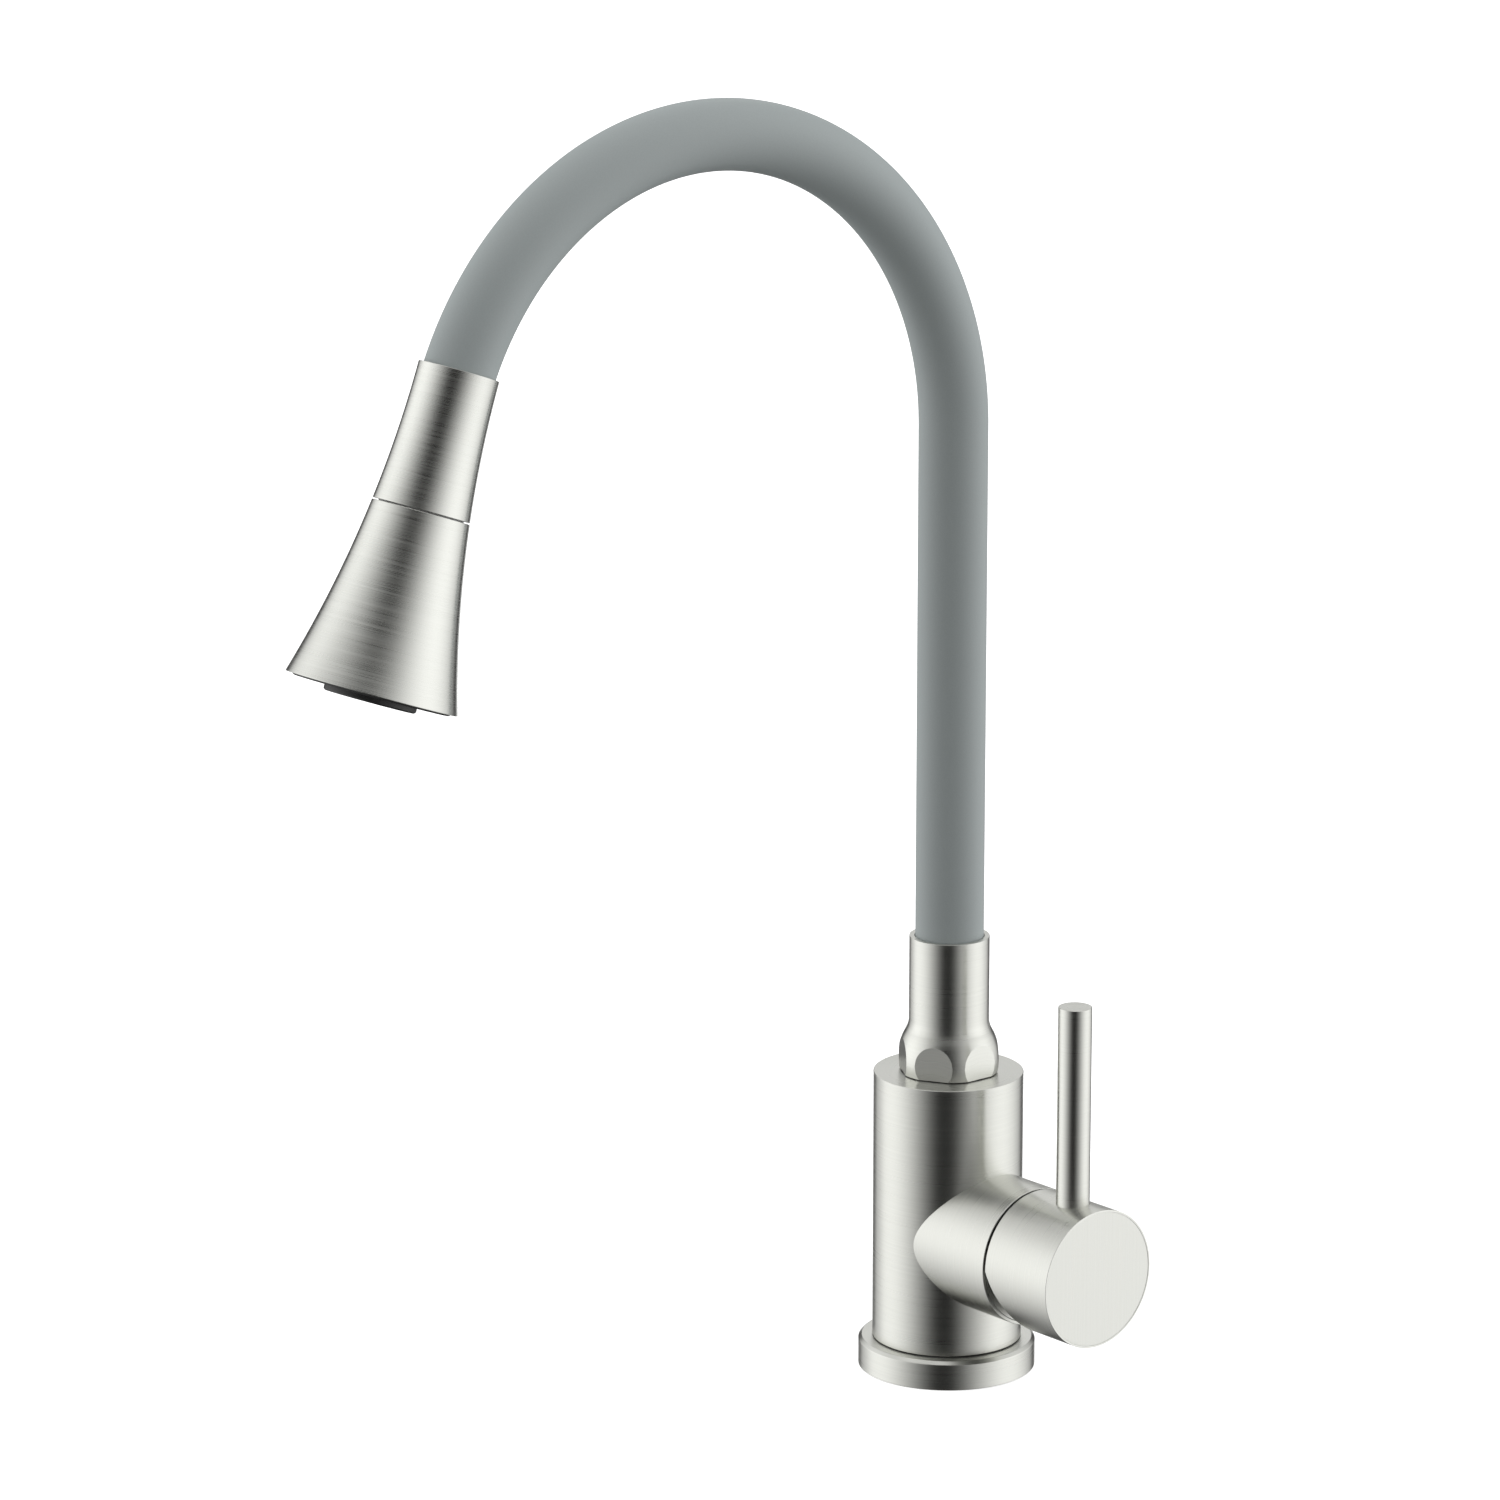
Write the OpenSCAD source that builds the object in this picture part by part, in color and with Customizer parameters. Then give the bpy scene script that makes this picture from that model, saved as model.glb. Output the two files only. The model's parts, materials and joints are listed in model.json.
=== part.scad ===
// Pull down kitchen faucet: side lever mixer, flexible silicone gooseneck and flared spray head.
// Millimetres. Origin on the deck, on the body's axis. +Z up, spout towards -Y, lever on +X.

/* [Base and body] */
// Diameter of the base flange
flange_d = 57; // [52:0.5:70]
// Height of the base flange
flange_h = 9.55; // [7:0.05:12]
// Chamfer on the flange's top edge
flange_chamfer = 1.1; // [0.4:0.1:1.8]
// Depth of the seal groove in the flange's underside
seal_depth = 1.7; // [1:0.1:2.5]
// Diameter of the body
body_d = 48; // [46:0.5:54]
// Height of the body's top face above the deck
body_top = 98.2; // [92:0.1:120]
// Dark gap between flange and body
gasket_t = 0.4; // [0.3:0.05:0.8]
// Diameter of the body's lower spigot, inside the flange
foot_spigot_d = 45.9; // [44:0.1:45.9]
// Radius of the stud hole (M8 tapping size)
stud_hole_r = 3.4; // [2.5:0.1:3.4]
// Depth of the stud hole
stud_hole_depth = 16; // [10:0.5:20]
// Radius of each inlet thread (M10x1 tapping size)
inlet_thread_r = 4.5; // [4:0.1:4.5]
// Depth of each inlet thread
inlet_thread_depth = 12; // [8:0.5:16]
// Radius of the water passages from the inlets
inlet_bore_r = 3; // [2:0.1:3]
// Sideways distance of each inlet from the centre
inlet_y = 10.5; // [10:0.1:13]
// Distance of the inlets from the centre, towards the lever
inlet_x = 3; // [2:0.1:3]

/* [Handle] */
// Height of the handle's axis above the deck
handle_z = 46.26; // [44:0.1:50]
// Diameter of the stub and of the handle hub
hub_d = 44.55; // [44:0.05:46]
// Distance of the stub's front face from the body's axis
stub_x = 42; // [41.5:0.1:46]
// Gap between stub and hub
hub_gap = 1; // [0.8:0.1:1.5]
// Distance of the hub's end face from the body's axis
hub_end_x = 71.2; // [70:0.1:80]
// Wall of the hub
hub_wall = 1.275; // [1:0.025:1.3]
// Width of the bright rim around the end cap
cap_rim = 0.62; // [0.4:0.02:1]
// Thickness of the end cap
cap_t = 2.35; // [1.5:0.05:3]
// Diameter of the lever rod
rod_d = 10.63; // [8:0.01:10.8]
// Distance of the lever rod from the body's axis
rod_x = 59.14; // [58.5:0.02:61]
// Height of the rod's top above the deck
rod_top = 132.4; // [100:0.1:180]
// Largest tilt of the lever, away from the body
tilt_deg = 25; // [10:1:25]
// Distance of the tilt pivot from the body's axis
pivot_x = 36; // [36:0.1:36.5]

/* [Cartridge] */
// Diameter of the cartridge
cartridge_d = 35.2; // [34:0.1:35.2]
// Distance of the cartridge seat from the body's axis
seat_x = 9.8; // [9.5:0.1:10.2]
// Wall of the cartridge housing
housing_wall = 2; // [1.2:0.1:2.2]
// Thickness of the fixed ceramic disc
fixed_disc_t = 3.45; // [2.5:0.05:4]
// Thickness of the moving ceramic disc
moving_disc_t = 3.45; // [2.5:0.05:4]
// Diameter of the moving disc
moving_disc_d = 23; // [21:0.5:23]
// Length of the spindle's inner arm, pivot to ball
arm_l = 8; // [7.5:0.1:8]
// Diameter of the spindle's ball
ball_d = 5; // [4:0.1:5]
// Width of the square spindle
spindle_w = 8; // [6:0.1:8]
// Diameter of the pivot pin
pin_d = 3; // [2:0.1:3]
// Diameter of the cartridge turret
turret_d = 20; // [18:0.5:20]

/* [Ferrule and swivel] */
// Diameter of the ferrule's tube
ferrule_d = 25.6; // [25:0.1:27]
// Height of the ferrule above the body's top
ferrule_h = 44.8; // [35:0.1:60]
// Largest diameter of the ferrule's bulb
bulb_d = 32.6; // [31:0.1:34]
// Height of the bulb's widest point above the body's top
bulb_z = 4.6; // [3:0.1:6]
// Radius of the bulb's round side
bulb_r = 18; // [16:0.5:20]
// Angle where the bulb's round side turns into the hollow curve
bulb_turn = 30; // [25:1:35]
// Width across the wrench flats
flats_w = 30; // [28:0.1:32]
// Radius of the swivel spigot
spigot_r = 12; // [11.6:0.1:12]
// Radius of the swivel bore in the body
swivel_bore_r = 13.5; // [13.4:0.1:14]
// Depth of the swivel bore below the body's top
swivel_depth = 26.2; // [25:0.1:30]

/* [Neck] */
// Diameter of the silicone sleeve
neck_d = 21.8; // [18:0.1:21.8]
// Wall of the silicone sleeve
neck_wall = 1.9; // [1.2:0.1:2.2]
// Height of the start of the bend above the deck
neck_z = 307.5; // [300:0.5:420]
// Radius of the bend, to the middle of the neck
bend_r = 100.5; // [80:0.5:140]
// Angle that the bend turns through
bend_deg = 160; // [120:1:180]
// Height where the flexing stretch starts
flex_z0 = 165; // [150:1:200]
// Height where the flexing stretch ends
flex_z1 = 295; // [240:1:300]
// Length of neck held inside the spray head
neck_in_head = 14; // [8:0.5:16]
// Clearance between the inner steel conduit and the neck's bore
conduit_clear = 0.2; // [0.2:0.05:0.8]
// Wall of the inner steel conduit
conduit_wall = 1.2; // [1:0.1:2.4]
// Outer diameter of the water tube
tube_d = 10; // [8:0.1:10]
// Wall of the water tube
tube_wall = 1.5; // [1:0.1:1.8]

/* [Spray head] */
// Diameter of the head at its top rim
head_top_d = 24.4; // [24.2:0.1:27]
// Radius of the head's flared side
flare_r = 350; // [300:5:450]
// Overall length of the head's metal shell
head_l = 97.4; // [94:0.1:110]
// Length of the fixed sleeve, rim to seam
sleeve_l = 42.25; // [42:0.05:44]
// How far the rim lies above the end of the bend
rim_up = 6.2; // [4:0.1:8]
// Width of the seam between sleeve and bell
seam_gap = 0.45; // [0.3:0.05:0.8]
// Wall of the bell
bell_wall = 1.6; // [1:0.1:2]
// Radius of the collar inside sleeve and bell
collar_r = 12.85; // [12.6:0.05:12.9]
// Radius of the turning neck inside the bell
head_neck_r = 9; // [8.6:0.1:9]
// Radius of the spray face where it meets the bell
face_r = 23.85; // [23.4:0.05:24]
// How far the spray face stands out of the bell
face_out = 0.55; // [0.2:0.05:1]
// Diameter of the aerator housing
aerator_d = 28; // [26:0.1:28]
// How far the aerator housing stands out of the bell
aerator_out = 2.5; // [1:0.1:4]
// Radius of each spray nozzle
nozzle_r = 0.9; // [0.5:0.1:0.9]
// How far the spray nozzles stop short of the spray face
nozzle_in = 0.1; // [0:0.1:0.6]

/* [Hidden] */
$fn = 96;

// clearances: fixed pieces against each other, and running fits
seat_gap = 0.05;
run_gap = 0.06;
eps = 0.5;

metal = [0.80, 0.80, 0.78];
silicone = [0.52, 0.55, 0.55];
dark = [0.20, 0.20, 0.20];
brass = [0.78, 0.62, 0.32];
rubber = [0.10, 0.10, 0.10];
steel = [0.70, 0.70, 0.72];
ceramic = [0.93, 0.92, 0.88];
plastic = [0.88, 0.88, 0.90];

body_r = body_d / 2;
foot_spigot_r = foot_spigot_d / 2;
body_foot = flange_h + gasket_t;
hub_r = hub_d / 2;
hub_x = stub_x + hub_gap;
rod_r = rod_d / 2;

// cartridge, stacked along +X from its seat
cart_r = cartridge_d / 2;
cart_bore_r = cart_r + 0.1;
housing_in_r = cart_r - housing_wall;
base_end_x = seat_x + 8.2;
fixed_x0 = base_end_x + seat_gap;
fixed_x1 = fixed_x0 + fixed_disc_t;
moving_x0 = fixed_x1 + seat_gap;
moving_x1 = moving_x0 + moving_disc_t;
carrier_x0 = moving_x1 + seat_gap;
ball_x = pivot_x - arm_l;
carrier_x1 = ball_x + 1;
turret_foot_x = carrier_x1 + 0.2;
turret_flange_x = pivot_x - 4.95;
turret_end_x = pivot_x + 4.5;
turret_r = turret_d / 2;
turret_flange_r = turret_r + 3;
turret_slot = [spindle_w + 0.2, 17.2];
neck_hole_r = turret_r + run_gap;
housing_shoulder_x = turret_flange_x + 2.75;
housing_neck_r = turret_r + 3;
housing_end_x = pivot_x + 3;
nut_r = cart_r + 1.15;
nut_x0 = housing_shoulder_x + seat_gap;
nut_x1 = stub_x - 1;
nut_hex_r = 15.6;
inlet_port = [7.5, 4];
outlet_port = [0, -5];
inlet_port_r = 2.6;
outlet_port_r = 3;
port_seal_w = 1.4;
mix_chamber_r = 6.2;
mix_chamber_z = -3;
outlet_x = -6;
outlet_bore_r = 4;
outlet_foot_z = handle_z + outlet_port[1] - outlet_port_r - 1.5;

// dome under the hub: a sphere about the tilt pivot, inside the hub's bore
hub_in_r = hub_r - hub_wall;
dome_r = hub_in_r - 0.4;
dome_wall = 1.3;
dome_recess_r = hub_r - 1.075;
dome_recess = 1.2;
dome_open_deg = tilt_deg + 18;
dome_open_r = dome_r * sin(dome_open_deg);

// hub inside
hub_wall_x = hub_end_x - 5.2;
cap_x = hub_end_x - 2.5;
boss_r = 9;
boss_x = pivot_x + sqrt(pow(dome_r + 1.3, 2) - pow(boss_r, 2));
lug_r = 5.5;
lug_top = 13;
rod_stud_r = 2.5;
spindle_end_x = hub_wall_x + 1.9;
grub_x = boss_x + 5.5;
grub_r = 1.95;
plug_r = 2.25;

// swivel
swivel_floor = body_top - swivel_depth;
bush_h = 5;
screw_groove_z = swivel_floor + 8;
screw_groove_w = 4.2;
screw_groove_r = spigot_r - 1.8;
swivel_screw_r = 2.5;
o_ring_r = 1.55;
o_ring_mid_r = swivel_bore_r - run_gap - o_ring_r;
o_ring_z = [swivel_floor + 13, swivel_floor + 17.5];
washer_t = 0.3;
ferrule_z = body_top + washer_t + seat_gap;
ferrule_top = body_top + ferrule_h;
ferrule_r = ferrule_d / 2;
neck_r = neck_d / 2;
ferrule_bore_r = neck_r + 0.2;
bulb_mid_z = body_top + bulb_z;
bulb_mid_r = bulb_d / 2 - bulb_r;
hollow_r = (bulb_d / 2 - ferrule_r) / (1 - cos(bulb_turn)) - bulb_r;
turn_z = bulb_mid_z + bulb_r * sin(bulb_turn);
turn_r = bulb_mid_r + bulb_r * cos(bulb_turn);
hollow_z = turn_z + hollow_r * sin(bulb_turn);
spigot_top = body_top + 13.8;
spigot_boss_r = ferrule_bore_r - seat_gap;
water_r = 4;

// neck and its fittings
neck_in_r = neck_r - neck_wall;
conduit_d = 2 * (neck_in_r - conduit_clear);
conduit_r = conduit_d / 2;
tube_r = tube_d / 2;
tube_in_r = tube_r - tube_wall;
barb_r = tube_in_r - 0.05 - seat_gap;
barb_bore_r = barb_r - 0.85;
fitting_r = 7.45;
fitting_flange_r = neck_r - 0.1;
fitting_flange_t = 1.95;
foot_fit_z = spigot_top + seat_gap;
neck_start = foot_fit_z + fitting_flange_t + seat_gap;
barb_l = 14;
crimp_l = 1.5;
bend_end = [0, -bend_r * (1 - cos(bend_deg)), neck_z + bend_r * sin(bend_deg)];

// spray head, measured along its own axis from the end of the bend
head_top_r = head_top_d / 2;
rim_w = -rim_up;
seam_w = rim_w + sleeve_l;
sleeve_w1 = seam_w - seam_gap / 2;
bell_w0 = seam_w + seam_gap / 2;
bell_w1 = rim_w + head_l;
rim_bore_r = neck_r + 0.45;
sleeve_bore_r = neck_r + 0.25;
insert_r = 10;
head_fit_w0 = neck_in_head + seat_gap;
head_fit_w1 = head_fit_w0 + fitting_flange_t;
insert_w0 = head_fit_w1 + seat_gap;
collar_w0 = insert_w0 + 17;
collar_w1 = collar_w0 + 15;
fitting_w1 = head_fit_w1 + 11;
washer_w1 = fitting_w1 + 1.5;
socket_w1 = washer_w1 + 2 * seat_gap;
check_w1 = socket_w1 + 13.4;
check_r = 6.5;
seat_t = 2.85;
poppet_w0 = socket_w1 + seat_t + 3 * seat_gap;
poppet_t = 1.6;
guide_w0 = socket_w1 + 7.4;
guide_t = 2.5;
stem_r = 1.5;
washer_l = 0.5;
neck_w1 = collar_w1 + 12;
core_w0 = collar_w1 + washer_l + 2 * seat_gap;
core_floor_w = core_w0 + 6;
neck_o_ring_w = core_w0 + 3;
neck_o_ring_r = 0.7;
clip_t = 1;
clip_w = core_floor_w + 0.3;
clip_groove_r = head_neck_r - 1;
face_w0 = bell_w1 - 6.15;
face_w1 = bell_w1 + face_out;
face_in_r = 22.2;
lip_w = bell_w1 - 1.6;
membrane_w0 = face_w0 - 1.55;
core_w1 = membrane_w0 - seat_gap;
core_r = 14.4;
core_mid_r = 17;
core_step_w = core_w0 + 13.4;
core_flange_r = 21.2;
core_flange_w = core_w1 - 2.45;
core_room_w = core_w0 + 16;
aerator_r = aerator_d / 2;
aerator_neck_r = 12;
aerator_bore_r = 10;
aerator_w0 = core_w1 - 12.4;
aerator_w1 = bell_w1 + aerator_out;
aerator_lip = 2.1;
screen_w1 = aerator_w1 - aerator_lip - seat_gap;
screen_t = 0.8;
nozzle_rows = [[16, 17], [20, 20.6]];

// ---------- helpers ----------

module ring(r_out, r_in, h) {
    difference() {
        cylinder(r = r_out, h = h);
        translate([0, 0, -eps]) cylinder(r = r_in, h = h + 2 * eps);
    }
}

// local +Z runs along the handle's axis, local +X points down
module along_handle(x) {
    translate([x, 0, handle_z]) rotate([0, 90, 0]) children();
}

// place something at [sideways, up] in a cross section of the handle
module at_port(p) {
    translate([-p[1], p[0], 0]) children();
}

// local +Z runs down the spray head's axis
module along_head(w) {
    translate(bend_end) rotate([bend_deg, 0, 0]) translate([0, 0, w]) children();
}

// a pipe along the neck's route, from height z0 to length l past the bend, with a crimped straight end
module neck_pipe(r_out, r_in, z0, l) {
    translate([0, 0, z0]) ring(r_out, r_in, neck_z - z0);
    translate([0, -bend_r, neck_z]) rotate([90, 0, 90])
        rotate_extrude(angle = bend_deg) translate([bend_r, 0]) difference() {
            circle(r = r_out);
            circle(r = r_in);
        }
    along_head(-crimp_l) ring(r_out + 0.05, r_in - 0.05, l + crimp_l);
}

// outline of the flared head between w0 and w1, pulled in by inset
module flare_outline(w0, w1, inset) {
    difference() {
        translate([0, w0]) square([40, w1 - w0]);
        translate([head_top_r + flare_r, rim_w]) circle(r = flare_r + inset, $fn = 720);
    }
}

module o_ring(mid_r, r) {
    rotate_extrude() translate([mid_r, 0]) circle(r = r, $fn = 32);
}

module port_holes(extra, h) {
    for (side = [-1, 1])
        at_port([side * inlet_port[0], inlet_port[1]]) cylinder(r = inlet_port_r + extra, h = h);
    at_port(outlet_port) cylinder(r = outlet_port_r + extra, h = h);
}

// ---------- base and body ----------

module base_flange() {
    color(metal) difference() {
        union() {
            cylinder(r = flange_d / 2, h = flange_h - flange_chamfer);
            translate([0, 0, flange_h - flange_chamfer])
                cylinder(r1 = flange_d / 2, r2 = flange_d / 2 - flange_chamfer, h = flange_chamfer);
        }
        translate([0, 0, -eps]) cylinder(r = foot_spigot_r + seat_gap, h = flange_h + 2 * eps);
        translate([0, 0, -eps]) ring(flange_d / 2 - 1.4, body_r + 0.4, seal_depth + eps);
    }
}

module base_seal() {
    color(rubber) ring(flange_d / 2 - 1.4 - seat_gap, body_r + 0.4 + seat_gap, seal_depth - seat_gap);
}

module body_gasket() {
    color(rubber) translate([0, 0, flange_h]) ring(body_r - 0.3, foot_spigot_r + 0.1, gasket_t);
}

module faucet_body() {
    color(metal) difference() {
        union() {
            cylinder(r = foot_spigot_r, h = body_foot);
            translate([0, 0, body_foot]) cylinder(r = body_r, h = body_top - body_foot);
            along_handle(0) cylinder(r = hub_r, h = stub_x);
        }
        along_handle(stub_x - dome_recess) cylinder(r = dome_recess_r, h = dome_recess + eps);
        along_handle(housing_shoulder_x) cylinder(r = nut_r + seat_gap, h = stub_x);
        along_handle(seat_x) cylinder(r = cart_bore_r, h = stub_x);
        body_passages();
        swivel_cavity();
    }
}

module body_passages() {
    translate([0, 0, -eps]) cylinder(r = stud_hole_r, h = stud_hole_depth + eps);
    for (side = [-1, 1]) {
        translate([inlet_x, side * inlet_y, -eps])
            cylinder(r = inlet_thread_r, h = inlet_thread_depth + eps);
        translate([inlet_x, side * inlet_y, 0])
            cylinder(r = inlet_bore_r, h = handle_z + inlet_port[1] + 4);
        along_handle(inlet_x - 1) at_port([side * inlet_port[0], inlet_port[1]])
            cylinder(r = inlet_port_r - 0.1, h = seat_x);
    }
    along_handle(outlet_x) at_port(outlet_port) cylinder(r = outlet_port_r, h = seat_x - outlet_x + eps);
    translate([outlet_x, 0, outlet_foot_z])
        cylinder(r = outlet_bore_r, h = swivel_floor - outlet_foot_z + eps);
}

module swivel_cavity() {
    translate([0, 0, swivel_floor]) cylinder(r = swivel_bore_r, h = swivel_depth + eps);
    translate([0, 0, screw_groove_z]) rotate([-90, 0, 0])
        cylinder(r = swivel_screw_r + 0.03, h = body_r + eps);
}

// ---------- cartridge ----------

module cartridge_housing() {
    color(plastic) difference() {
        union() {
            along_handle(seat_x + 1.2) cylinder(r = cart_r, h = housing_shoulder_x - seat_x - 1.2);
            along_handle(housing_shoulder_x - eps)
                cylinder(r = housing_neck_r, h = housing_end_x - housing_shoulder_x + eps);
        }
        along_handle(seat_x) cylinder(r = housing_in_r, h = turret_flange_x + seat_gap - seat_x);
        along_handle(seat_x) cylinder(r = neck_hole_r, h = housing_end_x);
    }
}

module cartridge_base() {
    color(dark) difference() {
        union() {
            along_handle(seat_x + 0.15) cylinder(r = cart_r, h = 1);
            along_handle(seat_x + 0.15) cylinder(r = housing_in_r - 0.1, h = base_end_x - seat_x - 0.15);
        }
        along_handle(seat_x) port_holes(0, 10);
        along_handle(seat_x) port_holes(port_seal_w + seat_gap, 1.8);
    }
}

module cartridge_seals() {
    color(rubber) difference() {
        along_handle(seat_x + seat_gap) port_holes(port_seal_w, 1.7);
        along_handle(seat_x - eps) port_holes(0.05, 3);
    }
}

module fixed_disc() {
    color(ceramic) difference() {
        along_handle(fixed_x0) cylinder(r = housing_in_r - 0.6, h = fixed_disc_t);
        along_handle(fixed_x0 - eps) port_holes(0, fixed_disc_t + 2 * eps);
    }
}

module moving_disc() {
    color(ceramic) difference() {
        along_handle(moving_x0) cylinder(d = moving_disc_d, h = moving_disc_t);
        along_handle(moving_x0 - eps) at_port([0, mix_chamber_z]) cylinder(r = mix_chamber_r, h = 2 + eps);
    }
}

module disc_carrier() {
    color(dark) difference() {
        along_handle(carrier_x0) cylinder(d = moving_disc_d - 0.2, h = carrier_x1 - carrier_x0);
        along_handle(carrier_x0 - eps) cylinder(d = ball_d + 0.3, h = 10);
    }
}

module turret() {
    color(plastic) difference() {
        union() {
            along_handle(turret_foot_x) cylinder(r = turret_flange_r, h = turret_flange_x - turret_foot_x);
            along_handle(turret_flange_x - eps)
                cylinder(r = turret_r, h = turret_end_x - turret_flange_x + eps);
        }
        translate([turret_foot_x - eps, -turret_slot[0] / 2, handle_z - turret_slot[1] / 2])
            cube([turret_end_x - turret_foot_x + 2 * eps, turret_slot[0], turret_slot[1]]);
        translate([pivot_x, turret_r + eps, handle_z]) rotate([90, 0, 0])
            cylinder(r = pin_d / 2 + 0.03, h = turret_d + 2 * eps);
    }
}

module pivot_pin() {
    pin_l = turret_d - 1.6;
    color(steel) translate([pivot_x, pin_l / 2, handle_z]) rotate([90, 0, 0])
        cylinder(d = pin_d, h = pin_l);
}

module spindle() {
    block_x = pivot_x - 3.5;
    color(steel) difference() {
        union() {
            translate([block_x, -spindle_w / 2, handle_z - spindle_w / 2])
                cube([spindle_end_x - block_x, spindle_w, spindle_w]);
            along_handle(ball_x) cylinder(r = ball_d / 2 - 0.8, h = block_x - ball_x + eps);
            translate([ball_x, 0, handle_z]) sphere(d = ball_d);
        }
        translate([pivot_x, spindle_w, handle_z]) rotate([90, 0, 0])
            cylinder(r = pin_d / 2 + 0.04, h = 2 * spindle_w);
    }
}

module retaining_nut() {
    color(brass) difference() {
        along_handle(nut_x0) cylinder(r = nut_r, h = nut_x1 - nut_x0);
        along_handle(nut_x0 - eps) cylinder(r = housing_neck_r + 0.2, h = 20);
        along_handle(nut_x0 + 2.5) cylinder(r = nut_hex_r, h = 20, $fn = 6);
    }
}

module dome_ring() {
    rise = stub_x - pivot_x;
    color(metal) along_handle(pivot_x) rotate_extrude() {
        translate([nut_r + 0.15, rise - dome_recess + seat_gap])
            square([dome_recess_r - 0.1 - nut_r - 0.15, dome_recess - seat_gap]);
        difference() {
            intersection() {
                circle(r = dome_r);
                translate([dome_open_r, rise]) square([dome_r, dome_r]);
            }
            circle(r = dome_r - dome_wall);
        }
    }
}

// ---------- handle ----------

module hub_back_cut() {
    translate([hub_x, 0, handle_z]) rotate([0, -tilt_deg, 0])
        translate([-hub_d, -hub_d, -2 * hub_d]) cube([hub_d, 2 * hub_d, 2 * hub_d]);
}

module handle_hub() {
    color(metal) difference() {
        union() {
            difference() {
                along_handle(hub_x) cylinder(r = hub_r, h = hub_end_x - hub_x);
                along_handle(hub_x - eps) cylinder(r = hub_in_r, h = hub_wall_x - hub_x + eps);
                along_handle(cap_x) cylinder(r = hub_r - cap_rim, h = 10);
            }
            along_handle(boss_x) cylinder(r = boss_r, h = hub_wall_x - boss_x + eps);
            translate([rod_x, 0, handle_z + spindle_w / 2])
                cylinder(r = lug_r, h = lug_top - spindle_w / 2);
        }
        hub_back_cut();
        translate([boss_x - 5, -spindle_w / 2 - seat_gap, handle_z - spindle_w / 2 - seat_gap])
            cube([spindle_end_x + 0.1 - boss_x + 5, spindle_w + 2 * seat_gap, spindle_w + 2 * seat_gap]);
        translate([rod_x, 0, handle_z]) cylinder(r = rod_stud_r + seat_gap, h = lug_top + eps);
        translate([rod_x, 0, handle_z + lug_top]) cylinder(r = rod_r + seat_gap, h = hub_r);
        translate([grub_x, 0, handle_z - boss_r - eps]) cylinder(r = grub_r + seat_gap, h = boss_r);
        translate([grub_x, 0, handle_z - hub_r - eps])
            cylinder(r = plug_r + seat_gap, h = hub_r - boss_r - 1);
    }
}

module handle_cap() {
    color(metal) along_handle(cap_x + seat_gap) cylinder(r = hub_r - cap_rim - seat_gap, h = cap_t);
}

module lever_rod() {
    chamfer = 0.3;
    foot = handle_z + lug_top + seat_gap;
    color(metal) {
        translate([rod_x, 0, foot]) cylinder(r = rod_r, h = rod_top - foot - chamfer);
        translate([rod_x, 0, rod_top - chamfer]) cylinder(r1 = rod_r, r2 = rod_r - chamfer, h = chamfer);
        translate([rod_x, 0, handle_z + spindle_w / 2 + 0.6])
            cylinder(r = rod_stud_r, h = lug_top - spindle_w / 2);
    }
}

module grub_screw() {
    color(steel) difference() {
        translate([grub_x, 0, handle_z - boss_r + 0.2])
            cylinder(r = grub_r, h = boss_r - 0.2 - spindle_w / 2 - seat_gap);
        translate([grub_x, 0, handle_z - boss_r - eps]) cylinder(r = 1.1, h = 3, $fn = 6);
    }
}

module screw_plug() {
    color(metal) translate([grub_x, 0, handle_z - hub_r + 0.15]) cylinder(r = plug_r, h = 1);
}

// ---------- ferrule and swivel ----------

module thrust_washer() {
    color(rubber) translate([0, 0, body_top]) ring(bulb_d / 2 - 1.1, spigot_r + 0.1, washer_t);
}

module swivel_bushes() {
    color(plastic) for (z = [swivel_floor, body_top - bush_h - seat_gap])
        translate([0, 0, z]) ring(swivel_bore_r - seat_gap, spigot_r + run_gap, bush_h);
}

module swivel_screw() {
    tip_r = spigot_r - 1.65;
    color(steel) translate([0, 0, screw_groove_z]) rotate([-90, 0, 0]) difference() {
        union() {
            translate([0, 0, tip_r]) cylinder(r = screw_groove_w / 2 - 0.1, h = 4);
            translate([0, 0, swivel_bore_r + 0.1])
                cylinder(r = swivel_screw_r, h = body_r - swivel_bore_r - 1);
        }
        translate([0, 0, body_r - 4]) cylinder(r = 1.45, h = 5, $fn = 6);
    }
}

module swivel_spigot() {
    color(brass) difference() {
        union() {
            translate([0, 0, swivel_floor + 0.2])
                cylinder(r = spigot_r, h = body_top + washer_t - swivel_floor - 0.2);
            translate([0, 0, body_top]) cylinder(r = spigot_boss_r, h = spigot_top - body_top);
        }
        translate([0, 0, screw_groove_z - screw_groove_w / 2])
            ring(spigot_r + eps, screw_groove_r, screw_groove_w);
        for (z = o_ring_z) translate([0, 0, z - o_ring_r - 0.1])
            ring(spigot_r + eps, o_ring_mid_r - o_ring_r - 0.05, 2 * o_ring_r + 0.2);
        cylinder(r = water_r, h = spigot_top + eps);
        translate([0, 0, spigot_top - 11.1]) cylinder(r = fitting_r + seat_gap, h = 12);
    }
}

module spigot_o_rings() {
    color(rubber) for (z = o_ring_z) translate([0, 0, z]) o_ring(o_ring_mid_r, o_ring_r);
}

module ferrule_outline() {
    translate([0, ferrule_z]) square([ferrule_r, ferrule_top - ferrule_z]);
    intersection() {
        translate([bulb_mid_r, bulb_mid_z]) circle(r = bulb_r, $fn = 360);
        translate([0, ferrule_z]) square([bulb_d, turn_z - ferrule_z]);
    }
    difference() {
        translate([0, turn_z]) square([turn_r, hollow_z - turn_z]);
        translate([ferrule_r + hollow_r, hollow_z]) circle(r = hollow_r, $fn = 360);
    }
}

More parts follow.
